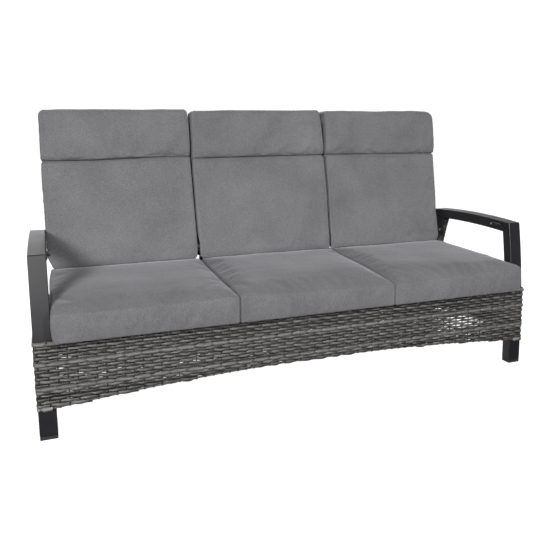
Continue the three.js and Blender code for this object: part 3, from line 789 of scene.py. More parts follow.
# ---- seat deck: woven elastic webbing ----
def deck(side, x0, x1, seed):
    rng = np.random.default_rng(seed)
    b = Bundle()
    y0, y1 = 5.0, 526.0
    nx = int(round((x1 - x0) / 50.0))
    ny = int(round((y1 - y0) / 50.0))
    px, py = (x1 - x0) / nx, (y1 - y0) / ny
    prof = round_rect(44.0, 1.6, 0.7, 1)
    for i in range(nx):
        x = x0 + px * (i + 0.5)
        y = np.linspace(y0, y1, ny * 8 + 1)
        z = 317.0 + 1.5 * np.cos(math.pi * ((y - y0) / py - 0.5 + i))
        n = len(y)
        b.add(np.c_[np.full(n, x), y, z], np.tile((1.0, 0, 0), (n, 1)), np.tile((0, 0, 1.0), (n, 1)), prof, rand=rng.uniform(0, 1))
    for j in range(ny):
        y = y0 + py * (j + 0.5)
        x = np.linspace(x0, x1, nx * 8 + 1)
        z = 317.0 - 1.5 * np.cos(math.pi * ((x - x0) / px - 0.5 + j))
        n = len(x)
        b.add(np.c_[x, np.full(n, y), z], np.tile((0, -1.0, 0), (n, 1)), np.tile((0, 0, 1.0), (n, 1)), prof, rand=rng.uniform(0, 1))
    return b.object(f"webbing_{side}", WEB)


def webbing():
    m, nt, b = material("seat_webbing", rough=0.8, specular=0.25)
    at = node(nt, "ShaderNodeAttribute", attribute_name="strand").outputs["Vector"]
    sep = node(nt, "ShaderNodeSeparateXYZ", {0: at})
    s, r, t = sep.outputs
    ribs = maths(nt, "SINE", maths(nt, "MULTIPLY", s, 2400.0))
    tone = noise(nt, node(nt, "ShaderNodeTexCoord").outputs["Object"], 60.0, 3.0, 0.6)
    nt.links.new(ramp(nt, tone, [(0.3, (0.018, 0.018, 0.019)), (0.7, (0.035, 0.034, 0.035))]), b.inputs["Base Color"])
    bump(nt, b, ribs, 0.4, 0.0003)
    return m


WEB = webbing()
for side, x0, x1 in (("left", -871, -300), ("middle", -299.4, 299.4), ("right", 300, 871)):
    settle(deck(side, x0, x1, 90), f"seat_deck_{side}")


# ---- cushions ----
def bands(lo, hi, r, step, extra=()):
    """Grid lines from lo to hi: close together in the rounded edges, even between them."""
    a = [r * math.tan(math.radians(x)) for x in (0, 11.25, 22.5, 33.75, 45)]
    left = [lo + r - x for x in a[::-1]]
    right = [hi - r + x for x in a]
    n = max(1, int(round((hi - lo - 2 * r) / step)))
    mid = list(np.linspace(lo + r, hi - r, n + 1)[1:-1])
    return np.array(sorted(left + mid + right + list(extra)))


def grid_box(xs, ys, zs, r):
    """Closed surface of a box on the given grid lines, its edges and corners rounded to r."""
    nx, ny, nz = len(xs), len(ys), len(zs)
    idx = -np.ones((nx, ny, nz), int)
    I, J, K = np.meshgrid(np.arange(nx), np.arange(ny), np.arange(nz), indexing="ij")
    surf = (I == 0) | (I == nx - 1) | (J == 0) | (J == ny - 1) | (K == 0) | (K == nz - 1)
    idx[surf] = np.arange(surf.sum())
    p = np.stack([xs[I[surf]], ys[J[surf]], zs[K[surf]]], 1)
    quads = []

    def face(a, flip):
        q = np.stack([a[:-1, :-1].ravel(), a[1:, :-1].ravel(), a[1:, 1:].ravel(), a[:-1, 1:].ravel()], 1)
        quads.append(q[:, ::-1] if flip else q)

    face(idx[:, :, 0], True)
    face(idx[:, :, -1], False)
    face(idx[:, 0, :], False)
    face(idx[:, -1, :], True)
    face(idx[0, :, :], True)
    face(idx[-1, :, :], False)
    lo = np.array([xs[0], ys[0], zs[0]]) + r
    hi = np.array([xs[-1], ys[-1], zs[-1]]) - r
    q = np.clip(p, lo, hi)
    d = p - q
    n = d / np.linalg.norm(d, axis=1)[:, None]
    return q + n * r, np.vstack(quads), n, p


def inflate(o, pin, pressure, frames, cap, shrink, stiff=18.0, bend=1.2):
    """Cloth swells the cover over its foam; each point moves at most cap metres."""
    me = o.data
    n = len(me.vertices)
    rest = np.zeros(n * 3, np.float32)
    me.vertices.foreach_get("co", rest)
    rest = rest.reshape(-1, 3).astype(float)
    vg = o.vertex_groups.new(name="pin")
    level = np.round(pin * 8) / 8
    for w in np.unique(level):
        if w > 0:
            vg.add(np.flatnonzero(level == w).tolist(), float(w), "REPLACE")
    m = o.modifiers.new("Cloth", "CLOTH")
    st = m.settings
    st.quality = 4
    st.mass = 0.35
    st.air_damping = 4.0
    st.tension_stiffness = st.compression_stiffness = stiff
    st.shear_stiffness = stiff * 0.5
    st.bending_stiffness = bend
    st.tension_damping = st.compression_damping = 12.0
    st.vertex_group_mass = "pin"
    st.pin_stiffness = 1.0
    st.use_pressure = True
    st.uniform_pressure_force = pressure
    st.shrink_min = shrink
    st.effector_weights.gravity = 0.0
    m.collision_settings.use_collision = False
    m.point_cache.frame_start = 1
    m.point_cache.frame_end = frames
    for f in range(1, frames + 1):
        bpy.context.scene.frame_set(f)
    dg = bpy.context.evaluated_depsgraph_get()
    ev = o.evaluated_get(dg).to_mesh()
    got = np.zeros(n * 3, np.float32)
    ev.vertices.foreach_get("co", got)
    got = got.reshape(-1, 3).astype(float)
    o.evaluated_get(dg).to_mesh_clear()
    o.modifiers.remove(m)
    o.vertex_groups.remove(vg)
    bpy.context.scene.frame_set(1)
    d = got - rest
    if not np.isfinite(d).all():
        d[:] = 0
    ln = np.linalg.norm(d, axis=1)
    k = np.where(ln > 1e-9, cap * np.tanh(ln / cap) / np.maximum(ln, 1e-9), 1.0)
    me.vertices.foreach_set("co", (rest + d * k[:, None]).astype(np.float32).ravel())
    me.update()
    return ln


def coords(o):
    v = np.zeros(len(o.data.vertices) * 3, np.float32)
    o.data.vertices.foreach_get("co", v)
    v = v.reshape(-1, 3).astype(float) / MM
    v[:, 1] += ORIGIN_Y
    return v


def set_coords(o, v):
    v = np.asarray(v, float).copy()
    v[:, 1] -= ORIGIN_Y
    o.data.vertices.foreach_set("co", (v * MM).astype(np.float32).ravel())
    o.data.update()


def subdivide(o):
    m = o.modifiers.new("Subdivision", "SUBSURF")
    m.levels = m.render_levels = 1
    m.subdivision_type = "CATMULL_CLARK"


def seam_strip(name, path, normal, body, r=0.9, closed=True):
    """The sunk line of a sewn seam: a thin flat thread along the path, in darker cloth that paints the shade of the
    sunk line.
    """
    c = np.asarray(path, float)
    d = np.roll(c, -1, 0) - np.roll(c, 1, 0) if closed else np.gradient(c, axis=0)
    d /= np.linalg.norm(d, axis=1)[:, None]
    nv = np.asarray(normal, float)
    sd = np.cross(d, nv)
    sd /= np.linalg.norm(sd, axis=1)[:, None]
    b = Bundle()
    b.add(c, sd, nv, ellipse(r, r * 0.8, 8), closed=closed)
    o = b.object(name, SEAM_SHADED)
    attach(o, body)
    return o


SEAT_X = {"left": (-888.0, -295.0), "middle": (-292.0, 310.5), "right": (313.5, 890.0)}


def edge_line(kind, y):
    """Height of a seat cushion's upper side edge: against a neighbour, or free beside an arm."""
    y = np.asarray(y, float)
    t = np.clip((y + 52.0) / 547.0, 0, 1)
    if kind == "seam12":
        h = 419.0 + 28.0 * t ** 1.3
    elif kind == "seam23":
        h = 405.0 + 43.0 * t ** 0.85 + 8.0 * smoothstep(430.0, 515.0, y) + 4.0 * smoothstep(506.0, 522.0, y)
    else:
        h = 422.0 + 30.0 * t ** 0.62
    return h


FRONT_EDGE = {"left": ([-890, -752, -597, -434, -293], [420, 412.5, 414, 415.5, 419]),
              "middle": ([-293, -95, 149, 310], [419, 412, 404.5, 405]),
              "right": ([313, 553, 791, 895], [405, 408, 416, 423])}
MID_Y = np.array([-52, -44, -34, -20, 0, 40, 94, 160, 228, 300, 400, 450, 485, 505, 522, 530.0])
MID_Z = np.array([0, 4, 8, 14.5, 21, 27.5, 32.5, 37, 40, 42.5, 45.5, 45.5, 43.5, 42, 41.8, 41.5])  # above a front edge at 415


def seat_top(side, x, y):
    x0, x1 = SEAT_X[side]
    X = np.clip((x - (x0 + x1) / 2) / ((x1 - x0) / 2), -1, 1)
    kinds = {"left": ("end", "seam12"), "middle": ("seam12", "seam23"), "right": ("seam23", "end")}[side]
    zl, zr = edge_line(kinds[0], y), edge_line(kinds[1], y)
    f = np.interp(x, *FRONT_EDGE[side])
    t = smoothstep(-52.0, 120.0, y)
    zm = np.interp(y, MID_Y, MID_Z) + f + (415.0 - f) * t
    base = zl + (zr - zl) * (X + 1) / 2
    base = f + (base - f) * smoothstep(-52.0, -20.0, y)
    return base + (zm - base) * (1 - np.abs(X) ** (9 + 15 * smoothstep(380.0, 495.0, y)))


def seat_cushion(side, seed):
    x0, x1 = SEAT_X[side]
    y0, y1, z0, z1 = -52.0, 530.0, 323.2, 444.0
    r = 8.0
    step = 11.0
    v, quads, nrm, cube = grid_box(bands(x0, x1, r, step), bands(y0, y1, r, step), bands(z0, z1, r, step), r)
    X = (v[:, 0] - (x0 + x1) / 2) / ((x1 - x0) / 2)
    Y = (v[:, 1] - (y0 + y1) / 2) / ((y1 - y0) / 2)
    Z = (v[:, 2] - z0) / (z1 - z0)
    soft = Waves(seed, 9, 160, 480)
    small = Waves(seed + 5, 14, 26, 80)
    # the top: low along the seams, plump between them, falling to the sewn front edge
    top = seat_top(side, cube[:, 0], cube[:, 1])
    v[:, 2] = z0 + Z * (top - z0)
    keep = (1 - np.abs(X) ** 6) * smoothstep(-50.0, -10.0, v[:, 1]) * smoothstep(530.0, 470.0, v[:, 1])
    v[:, 2] += smoothstep(0.6, 1.0, Z) * 1.1 * soft(v) * keep
    # sides pull in between the corners at mid length and swell at mid height
    belly = np.sin(math.pi * np.clip(Z, 0, 1))
    side_w = smoothstep(0.86, 1.0, np.abs(X))
    free = (X < 0) if side == "left" else (X > 0) if side == "right" else np.zeros(len(X), bool)
    v[:, 0] -= np.sign(X) * side_w * np.where(free, -2.0 * belly ** 2, 0.9 * (1 - Y ** 2) - 0.9 * belly)
    # beside the arms the cover reaches the legs and swells a little past them in front
    front = smoothstep(-9.0, -24.0, v[:, 1]) * smoothstep(0.0, 0.18, Z)
    if side == "left":
        out = smoothstep(-0.86, -1.0, X)
        v[:, 0] -= out * (7.0 + 3.0 * front - 6.0 * smoothstep(360.0, 530.0, v[:, 1]))
    if side == "right":
        out = smoothstep(0.86, 1.0, X)
        v[:, 0] += out * (6.0 + 8.4 * front - 5.0 * smoothstep(360.0, 530.0, v[:, 1]))
    if side != "middle":
        sx = -1 if side == "left" else 1
        ex = v[:, 0].min() if sx < 0 else v[:, 0].max()
        forward = smoothstep(-10.0, -40.0, v[:, 1])
        for rx, rz, lower in ((12.0, 13.0 + 17.0 * forward, True), (9.0 * forward + 1e-6, 17.0, False)):
            p = np.clip((sx * (v[:, 0] - ex) + rx) / rx, 0, 1)
            q = np.clip((z0 + rz - v[:, 2]) / rz if lower else (v[:, 2] - top + rz) / rz, 0, 1)
            v[:, 0] -= sx * rx * (p - p * np.sqrt(1 - q * q / 2))
            v[:, 2] += (1 if lower else -forward) * rz * (q - q * np.sqrt(1 - p * p / 2))
    # plump front face between its seams
    fw = smoothstep(0.0, -52.0, v[:, 1])
    v[:, 1] -= fw * (3.0 * belly - 1.2) * (1 - 0.5 * np.abs(X) ** 8)
    v[:, 1] += fw * 0.7 * soft(v + 300)
    # the middle and right cushions press together at the rear
    if side != "left":
        sx = 1 if side == "middle" else -1
        v[:, 0] += sx * 1.2 * smoothstep(0.8, 1.0, sx * X) * smoothstep(470.0, 500.0, v[:, 1])
    # plan corners are rounded
    for sx, sy, rad in ((-1, -1, 12.0), (1, -1, 12.0), (-1, 1, 15.0), (1, 1, 15.0)):
        ex = v[:, 0].max() if sx > 0 else v[:, 0].min()
        ey = v[:, 1].max() if sy > 0 else v[:, 1].min()
        if (side, sx) in (("left", 1), ("middle", -1), ("middle", 1), ("right", -1)) and sy < 0:
            rad = 5.0
        if (side, sx) in (("middle", 1), ("right", -1)) and sy > 0:
            rad = 5.0
        p = np.clip((sx * (v[:, 0] - ex) + rad) / rad, 0, 1)
        q = np.clip((sy * (v[:, 1] - ey) + rad) / rad, 0, 1)
        v[:, 0] -= sx * rad * (p - p * np.sqrt(1 - q * q / 2))
        v[:, 1] -= sy * rad * (q - q * np.sqrt(1 - p * p / 2))
    v = v + nrm * (0.20 * small(v) * smoothstep(0.02, 0.2, Z))[:, None]
    o = mesh_object(f"seat_pad_{side}", v, [quads], CLOTH_SEAT_SHADED)
    # held at the seams and on the deck; the cover swells a little between them
    ez = np.minimum(np.abs(cube[:, 2] - z1), np.abs(cube[:, 2] - z0))
    ex = np.minimum(np.abs(cube[:, 0] - x0), np.abs(cube[:, 0] - x1))
    ey = np.minimum(np.abs(cube[:, 1] - y0), np.abs(cube[:, 1] - y1))
    edge = np.sort(np.stack([ex, ey, ez], 1), axis=1)[:, 1]
    pin = np.where(edge < 9.0, 0.75, 0.0)
    pin = np.where(Z < 0.03, 1.0, pin)
    inflate(o, pin, 1.6, 14, 0.006, -0.012)
    w = coords(o)
    w[:, 0] = np.clip(w[:, 0], v[:, 0] - 1.2, v[:, 0] + 1.2)
    w[:, 2] = np.maximum(w[:, 2], z0 - 0.2)
    w[:, 2] = np.minimum(w[:, 2], v[:, 2] + 3.5 * smoothstep(500.0, 440.0, w[:, 1]) + 0.2)
    set_coords(o, w)
    subdivide(o)
    settle(o, f"seat_cushion_{side}")
    # sewn line along the front edge of the top
    w = coords(o)
    sel = (np.abs(cube[:, 2] - z1) < 1e-6) & (np.abs(cube[:, 1] - (y0 + r - r * math.tan(math.radians(22.5)))) < 0.2) & (np.abs(X) < 0.985)
    idx = np.flatnonzero(sel)
    idx = idx[np.argsort(cube[idx, 0])]
    if len(idx) > 4:
        seam_strip(f"seat_seam_{side}", w[idx] + np.array([0.0, -0.15, 0.15]), np.tile((0.0, -0.6, 0.8), (len(idx), 1)), "frame", 0.55, closed=False)
    return o


BACK_X = {"left": (-881.0, -312.0), "middle": (-288.0, 288.0), "right": (312.0, 881.0)}
GROOVES = {"left": (869.0, 878.0), "middle": (869.5, 876.5), "right": (877.0, 876.0)}  # z at the cushion's left and right end
TOPS = {"left": (1069.5, 1075.0), "middle": (1070.0, 1077.5), "right": (1076.0, 1076.0)}
G0 = 874.0  # the groove's height in the plain shape that the cover is drawn on


def rear_face(z):
    return BACK_Y - 3 + (z - BACK_Z) * LEAN_T


FRONT_Z = np.array([456, 468, 482, 520, 560, 610, 670, 740, 800, 840, 856, 864, 869, 872, G0, 876, 879, 884, 892, 910, 940, 985, 1020, 1045, 1070.0])
FRONT_Y = np.array([497, 494.5, 493.5, 497, 507, 519, 533.5, 548, 561, 570, 573.5, 576.5, 581.5, 590, 599, 590, 581.5, 577, 573.5, 570.5, 570.5, 574.5, 580, 586, 592.0])


def front_face(z):
    return np.interp(z, FRONT_Z, FRONT_Y)


def side_line(z, outer):
    """The |x| that a cushion's side reaches, counted from the middle of the gap or the arm: by height."""
    if outer:
        return np.interp(z, [456, 468, 482, 500, 520, 600, 700, 800, 862, G0, 884, 905, 960, 1030, 1070],
                         [872, 881, 889, 895.2, 897.9, 897.9, 897.6, 898, 896.5, 893.5, 898, 900, 899.5, 898.5, 897.5])
    return np.interp(z, [456, 470, 490, 540, 620, 700, 800, 860, G0, 886, 905, 960, 1020, 1050, 1070],
                     [9.0, 6.5, 4.8, 4.0, 3.8, 4.0, 4.4, 5.2, 7.5, 5.0, 4.2, 4.4, 5.5, 8.0, 10.0])


def inset_right(z):
    """The right back cushion stops a little shorter of its arm than the left one."""
    return np.interp(z, [456, 482, 500, 520, 605, 645, 690, 790, 862, G0, 890, 960, 1070], [4, 9, 15, 19, 18.5, 13.5, 10.5, 8, 4, -3, 4.5, 7, 6.5])


def back_cushion(side, seed):
    x0, x1 = BACK_X[side]
    r, D = 7.0, 100.0
    lo_z, hi_z = 456.6, 1070.0
    seam_in = 8.0
    fine = [G0 + d for d in (-17, -13, -10, -7.5, -5.5, -4, -2.6, -1.3, 0, 1.3, 2.6, 4, 5.5, 7.5, 10, 13, 17)]
    zs = bands(lo_z, hi_z, r, 10.5, (hi_z - seam_in - 1.6, hi_z - seam_in - 3.2))
    zs = np.array(sorted([z for z in zs if abs(z - G0) > 21] + fine))
    xs = bands(x0, x1, r, 10.5, (x0 + seam_in + 1.6, x0 + seam_in + 3.2, x1 - seam_in - 1.6, x1 - seam_in - 3.2))
    ys = bands(0.0, D, r, 12.0, (9.0, 11.0, 13.0, 15.0))
    v, quads, nrm, cube = grid_box(xs, ys, zs, r)
    u = (v[:, 0] - x0) / (x1 - x0)
    X = 2 * u - 1
    W = 1 - v[:, 1] / D  # 0 at the rear, 1 at the front
    z = v[:, 2].copy()
    soft = Waves(seed, 10, 150, 520)
    mid = Waves(seed + 3, 12, 60, 160, (1.4, 1.0, 1.0))
    # front face: full between the borders, firm and nearly flat across; the groove runs from side to side
    gfade = 1.0
    if side == "middle":
        gfade = 0.35 + 0.65 * smoothstep(0.0, 0.07, u)
    if side == "left":
        gfade = 1.0 - 0.35 * smoothstep(0.55, 1.0, u)
    if side == "right":
        gfade = 1.0 - 0.25 * np.exp(-((u - 0.5) / 0.25) ** 2)
    front = front_face(z)
    base = np.interp(z, [840, G0 - 12, G0 + 12, 910], [570, 574.5, 573.0, 570.5])
    near = (np.abs(z - G0) < 13) * 1.0
    front = np.where(near > 0, base + (front - base) * gfade, front)
    flat = 1 - np.abs(X) ** 5
    part = np.where(z < G0, np.clip((z - lo_z) / (G0 - lo_z), 0, 1), np.clip((z - G0) / (hi_z - G0), 0, 1))
    body = np.sin(math.pi * part) ** 0.55
    front = front - 3.6 * flat * body + 2.4 * (1 - flat) * body
    front = front + (1.3 * soft(np.c_[v[:, 0], z * 0, z]) + 0.5 * mid(np.c_[v[:, 0], z * 0, z]) * body) * np.clip(1 - np.abs(X) ** 8, 0, 1)
    rear = rear_face(z)
    y = rear + (front - rear) * W
    # the sides go out to the arms and the gaps; beside the hinge plates the cover is drawn in
    left_outer, right_outer = side == "left", side == "right"
    inner = side_line(z, False)
    close = np.where(z < 540.0, np.minimum(inner, 3.4), inner)  # the middle and right cushions touch down to the seat
    lx = -side_line(z, True) if left_outer else {"middle": -300.0, "right": 300.0}[side] + (close if side == "right" else inner)
    rx = side_line(z, True) - inset_right(z) if right_outer else {"left": -300.0, "middle": 300.0}[side] - (close if side == "middle" else inner)
    # neither gap is straight: one sits a little to the left, the other bows to the right and opens in the head part
    head = smoothstep(884.0, 900.0, z)
    lean_l = np.interp(z, [456, 520, 700, 880, 1070], [-4.5, -5.0, -6.0, -7.0, -7.0])
    if side == "right":
        lx = lx + np.interp(z, [456, 520, 600, 700, 850, 884, 1000, 1070], [1.5, 2.0, 6.0, 10.5, 11.0, 10.0, 8.0, 4.5])
    if side == "middle":
        lx = lx + lean_l
        rx = rx + np.interp(z, [456, 520, 600, 700, 850, 884, 1000, 1070], [1.5, 2.0, 6.0, 10.5, 11.0, 8.0, 1.0, -2.5])
    if side == "left":
        rx = rx + lean_l
        lx = lx + 3.0 * head
    to_rear = smoothstep(0.62, 0.0, W) * 6.0
    hinge = smoothstep(503.5, 506.5, y) * smoothstep(640.0, 600.0, z)
    # the plate's upper edge climbs from (513, 518) to (620, 562); above it the cover comes out again
    above = smoothstep(4.0, 16.0, z - (518.0 + (y - 513.0) * 0.411))
    hinge = hinge * (1 - above)
    l_in = {"left": -882.6, "middle": -290.0, "right": 313.4}[side]
    r_in = {"left": -313.4, "middle": 290.0, "right": 882.6}[side]
    lx = lx + (l_in - lx) * hinge
    rx = rx + (r_in - rx) * hinge
    lx = lx + to_rear * (1 - hinge)
    rx = rx - to_rear * (1 - hinge)
    gx = smoothstep(0.90, 1.0, np.abs(X))
    v[:, 0] += np.where(X < 0, (lx - x0) * gx, (rx - x1) * gx)
    v[:, 1] = y
    # the groove climbs and the top edge wanders
    g_l, g_r = GROOVES[side]
    t_l, t_r = TOPS[side]
    g_at = g_l + (g_r - g_l) * smoothstep(0.25, 0.85, u) if side == "left" else g_l + (g_r - g_l) * u
    if side == "middle":
        g_at = g_at + 0.0
    t_at = t_l + (t_r - t_l) * u + 0.9 * soft(np.c_[v[:, 0], z * 0 + 7, z * 0]) + 0.5 * mid(np.c_[v[:, 0], z * 0, z * 0])
    if side == "left":
        t_at = t_at - 2.0 * smoothstep(0.10, 0.0, u)
    if side == "right":
        t_at = t_at - 4.0 * smoothstep(0.93, 1.0, u)
    k = np.interp(z, [lo_z, 560, G0, hi_z], [0.0, 0.0, 1.0, 1.0])
    v[:, 2] += (g_at - G0) * np.where(z < G0, k, np.clip((hi_z - z) / (hi_z - G0), 0, 1))
    v[:, 2] += (t_at - hi_z) * np.clip((z - G0) / (hi_z - G0), 0, 1) ** 1.3
    # the lower edge hangs to the seat in front and rises to the rear, where it has to pass over the seat when the back leans
    low = smoothstep(520.0, lo_z, z)
    v[:, 2] += low * (0.20 * np.maximum(0.0, y - 510.0) + 0.6)
    # upper and lower corners are rounded as seen from the front
    for sx, sz, rad in ((-1, 1, 14.0), (1, 1, 14.0), (-1, -1, 11.0), (1, -1, 11.0)):
        if side == "right" and sx > 0 and sz > 0:
            rad = 29.0
        if side == "left" and sx < 0 and sz > 0:
            rad = 20.0
        if sz < 0 and ((side == "middle" and sx > 0) or (side == "right" and sx < 0)):
            rad = 4.0
        ex = np.where(sx > 0, rx, lx)
        ez = t_at if sz > 0 else lo_z + 0.6 + low * 0.20 * np.maximum(0.0, y - 510.0)
        p = np.clip((sx * (v[:, 0] - ex) + rad) / rad, 0, 1)
        q = np.clip((sz * (v[:, 2] - ez) + rad) / rad, 0, 1)
        v[:, 0] -= sx * rad * (p - p * np.sqrt(1 - q * q / 2))
        v[:, 2] -= sz * rad * (q - q * np.sqrt(1 - p * p / 2))
    if side != "left":
        inner_end = smoothstep(0.93, 0.985, X if side == "middle" else -X)
        v[:, 2] -= 4.5 * inner_end * smoothstep(485.0, lo_z + 4.0, z)
    o = mesh_object(f"back_pad_{side}", v, [quads[:, ::-1]], CLOTH_BACK)
    ez = np.minimum(np.abs(cube[:, 2] - lo_z), np.abs(cube[:, 2] - hi_z))
    ex = np.minimum(np.abs(cube[:, 0] - x0), np.abs(cube[:, 0] - x1))
    ey = np.minimum(np.abs(cube[:, 1]), np.abs(cube[:, 1] - D))
    edge = np.sort(np.stack([ex, ey, ez], 1), axis=1)[:, 1]
    pin = np.where(edge < 11.5, 0.9, 0.0)
    pin = np.where(np.abs(cube[:, 2] - G0) < 6, 1.0, pin)
    pin = np.where(W < 0.08, 1.0, pin)
    inflate(o, pin, 1.8, 14, 0.008, -0.02)
    w = coords(o)
    w[:, 0] = np.clip(w[:, 0], v[:, 0] - 1.5, v[:, 0] + 1.5)
    w[:, 2] = np.maximum(w[:, 2], np.where(v[:, 2] < 500.0, v[:, 2] - 0.3, 0.0))
    w[:, 2] = np.where(v[:, 2] > hi_z - 30.0, np.clip(w[:, 2], v[:, 2] - 0.5, v[:, 2] + 0.7), w[:, 2])
    set_coords(o, w)
    # creases that run in from the sides below the groove, and slack ripples
    w = coords(o)
    pull = (smoothstep(0.66, 0.93, np.abs(X)) * (1 - smoothstep(0.965, 1.0, np.abs(X)))) * smoothstep(0.3, 0.95, W)
    below = np.exp(-((z - 820.0) / 75.0) ** 2) + 0.35
    fine_w = Waves(seed + 9, 12, 12, 28, (5.0, 3.0, 1.0))
    w[:, 1] -= (0.07 + 0.30 * pull * below) * fine_w(np.c_[v[:, 0], z * 0, z]) * smoothstep(0.3, 0.9, W)
    # the front face, which carries the sewn line laid below
    face = cube[:, 1] < 1e-6
    set_coords(o, w)
    subdivide(o)
    settle(o, f"back_cushion_{side}")
    # sewn line round the front: up one side, over the top, down the other
    body_name = BODY_OF[f"back_cushion_{side}"]

    def line(sel, key):
        idx = np.flatnonzero(sel & face)
        return idx[np.argsort(cube[idx, key])]

    up_l = line(np.abs(cube[:, 0] - (x0 + seam_in + 1.6)) < 0.1, 2)
    up_r = line(np.abs(cube[:, 0] - (x1 - seam_in - 1.6)) < 0.1, 2)
    across = line(np.abs(cube[:, 2] - (hi_z - seam_in - 1.6)) < 0.1, 0)
    cut_l = cube[up_l, 2] < hi_z - 16.0
    cut_r = cube[up_r, 2] < hi_z - 16.0
    cut_t = (cube[across, 0] > x0 + 14.0) & (cube[across, 0] < x1 - 14.0)
    path = np.vstack([w[up_l[cut_l]], w[across[cut_t]], w[up_r[cut_r]][::-1]])
    seam_strip(f"back_seam_{side}", path, np.tile((0.0, -1.0, 0.0), (len(path), 1)), body_name, 0.6, closed=False)
    return o


for i, side in enumerate(("left", "middle", "right")):
    seat_cushion(side, 200 + 20 * i)
    back_cushion(side, 300 + 20 * i)


# ---- hoods: the cover's pocket that slips over the top of each back frame ----
def hood(side, x0, x1, seed):
    r = 9.0
    z0, z1 = 430.0, 616.0
    d0, d1 = -14.0, 28.0
    xs = bands(x0, x1, r, 12.0)
    ds = bands(d0, d1, r, 8.0)
    zs = bands(z0, z1, r, 11.0)
    v, quads, nrm, cube = grid_box(xs, ds, zs, r)
    # leave the bottom open
    low = cube[:, 2] <= z0 + 1e-6
    quads = quads[~low[quads].all(1)]
    soft = Waves(seed, 10, 50, 260)
    X = (v[:, 0] - (x0 + x1) / 2) / ((x1 - x0) / 2)
    # rounded upper corners like the frame's, a slack lower hem
    up = smoothstep(z1 - 60, z1, v[:, 2])
    v[:, 2] -= 16.0 * up * np.clip((np.abs(X) - 0.86) / 0.14, 0, 1) ** 2
    hem = smoothstep(z0 + 60, z0, v[:, 2])
    v[:, 1] += np.where(v[:, 1] > 10, 1.0, 0) * (0.8 * soft(v) + hem * 1.2 * np.abs(soft(v * np.array([1.6, 1, 0.4]))))
    v[:, 0] += np.sign(X) * hem * smoothstep(0.9, 1.0, np.abs(X)) * 2.0
    v[:, 2] += hem * 1.2 * np.sin(v[:, 0] / 60.0 + seed)
    used = np.unique(quads)
    remap = -np.ones(len(v), int)
    remap[used] = np.arange(len(used))
    o = mesh_object(f"back_hood_{side}", to_back(v[used]), [remap[quads]], CLOTH_BACK)
    s = o.modifiers.new("Thick", "SOLIDIFY")
    s.thickness = 0.0016
    s.offset = -1.0
    subdivide(o)
    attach(o, BODY_OF[f"back_cushion_{side}"])
    return o


hood("left", -889.6, -303.6, 401)
hood("middle", -296.4, 296.4, 402)
hood("right", 303.6, 889.6, 403)


# ---- stage: white floor and backdrop, a soft room, two softboxes ----
def backdrop(name, build, strength, diffuse):
    me = bpy.data.meshes.new(name)
    build(me)
    o = bpy.data.objects.new(name, me)
    bpy.context.scene.collection.objects.link(o)
    m, nt, b = material(name + "_white", rough=0.95, specular=0.0)
    b.inputs["Base Color"].default_value = (diffuse, diffuse, diffuse, 1)
    b.inputs["Emission Color"].default_value = (1, 1, 1, 1)
    b.inputs["Emission Strength"].default_value = strength
    me.materials.append(m)
    # seen, but it doesn't light the sofa: the softboxes and the room do
    o.visible_diffuse = False
    o.visible_glossy = False
    o.visible_shadow = False
    return o


def flat_floor(me):
    s = 30.0
    me.from_pydata([(-s, -s, 0), (s, -s, 0), (s, s, 0), (-s, s, 0)], [], [(0, 1, 2, 3)])


def round_wall(me):
    n, r, h = 64, 29.0, 26.0
    ring = [(r * math.cos(2 * math.pi * i / n), r * math.sin(2 * math.pi * i / n)) for i in range(n)]
    me.from_pydata([(x, y, -0.5) for x, y in ring] + [(x, y, h) for x, y in ring] + [(0, 0, h)], [],
                   [(i, (i + 1) % n, n + (i + 1) % n, n + i) for i in range(n)] + [(n + i, n + (i + 1) % n, 2 * n) for i in range(n)])


def room():
    w = bpy.data.worlds.new("studio")
    bpy.context.scene.world = w
    w.use_nodes = True
    nt = w.node_tree
    bg = nt.nodes["Background"]
    d = node(nt, "ShaderNodeSeparateXYZ", {0: node(nt, "ShaderNodeTexCoord").outputs["Generated"]}).outputs
    # brightest overhead and behind the sofa, dim to the front
    lift = span(nt, d[2], -0.2, 1.0, 0.0, 1.0)
    behind = maths(nt, "POWER", span(nt, d[1], -0.6, 1.0, 0.0, 1.0), 5.0)
    f = maths(nt, "ADD", maths(nt, "MULTIPLY", lift, 0.11), maths(nt, "MULTIPLY", behind, 0.84))
    nt.links.new(ramp(nt, f, [(0.0, (0.035, 0.035, 0.036)), (1.0, (1.38, 1.38, 1.40))]), bg.inputs[0])
    bg.inputs[1].default_value = 1.0


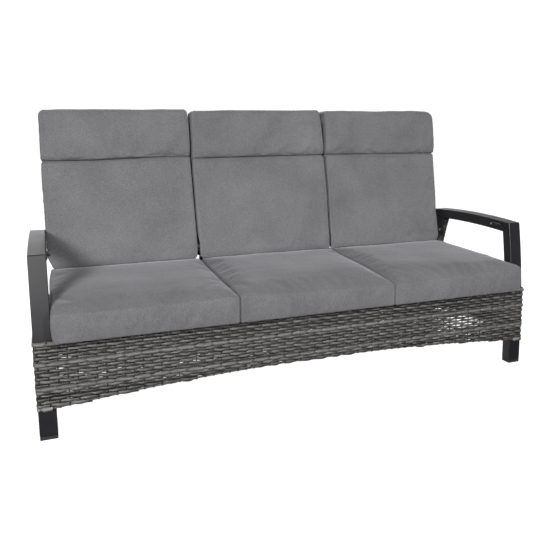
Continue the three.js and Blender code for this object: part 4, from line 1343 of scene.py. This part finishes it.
def area(name, loc, target, size, size_y, power, color=(1, 1, 1)):
    d = bpy.data.lights.new(name, "AREA")
    d.shape = "RECTANGLE"
    d.size, d.size_y = size, size_y
    d.energy = power
    d.color = color
    o = bpy.data.objects.new(name, d)
    o.location = loc
    o.rotation_mode = "QUATERNION"
    o.rotation_quaternion = (Vector(target) - Vector(loc)).to_track_quat("-Z", "Y")
    bpy.context.scene.collection.objects.link(o)
    return o


backdrop("floor", flat_floor, 0.95, 0.3)
backdrop("backdrop", round_wall, 1.05, 0.0)
room()
area("softbox_left", (-3.2, -4.9, 2.4), (-0.1, 0.1, 0.6), 1.15, 1.15, 425)
area("softbox_right", (0.9, -4.3, 2.1), (0.4, 0.1, 0.8), 0.5, 0.5, 138)
area("front_panel", (-0.95, -5.3, 1.0), (-0.93, -0.3, 0.45), 1.5, 2.2, 26)
area("rear_fill", (0.8, 4.0, 3.6), (0.0, 0.2, 0.6), 2.2, 2.2, 135)
area("side_fill", (5.0, 0.4, 1.8), (0.9, 0.0, 0.5), 1.8, 1.8, 85)
area("overhead", (0.0, -0.6, 4.0), (0.0, 0.0, 0.5), 3.0, 2.0, 3)

# ---- camera, fitted to the photograph's perspective ----
yaw, pitch, roll = 0.36647638055205856, -0.15476733936373244, -0.009757316901775602
fwd = Vector((math.sin(yaw) * math.cos(pitch), math.cos(yaw) * math.cos(pitch), math.sin(pitch)))
right = Vector((math.cos(yaw), -math.sin(yaw), 0))
up = right.cross(fwd)
r2 = right * math.cos(roll) + up * math.sin(roll)
u2 = -right * math.sin(roll) + up * math.cos(roll)
cd = bpy.data.cameras.new("camera")
cam = bpy.data.objects.new("camera", cd)
bpy.context.scene.collection.objects.link(cam)
rot = Matrix((r2, u2, -fwd)).transposed()
cam.matrix_world = Matrix.Translation(Vector((-0.88188, (-2006.176 - ORIGIN_Y) * MM, 0.92566))) @ rot.to_4x4()
cd.sensor_fit = "HORIZONTAL"
cd.sensor_width = 36.0
cd.lens = 617.0 / 550.0 * 36.0
cd.shift_x = (275.0 - 284.682) / 550.0
cd.shift_y = (240.731 - 275.0) / 550.0
cd.clip_start, cd.clip_end = 0.05, 100.0
bpy.context.scene.camera = cam
bpy.context.scene.view_settings.view_transform = "Standard"
bpy.context.scene.view_settings.look = "None"
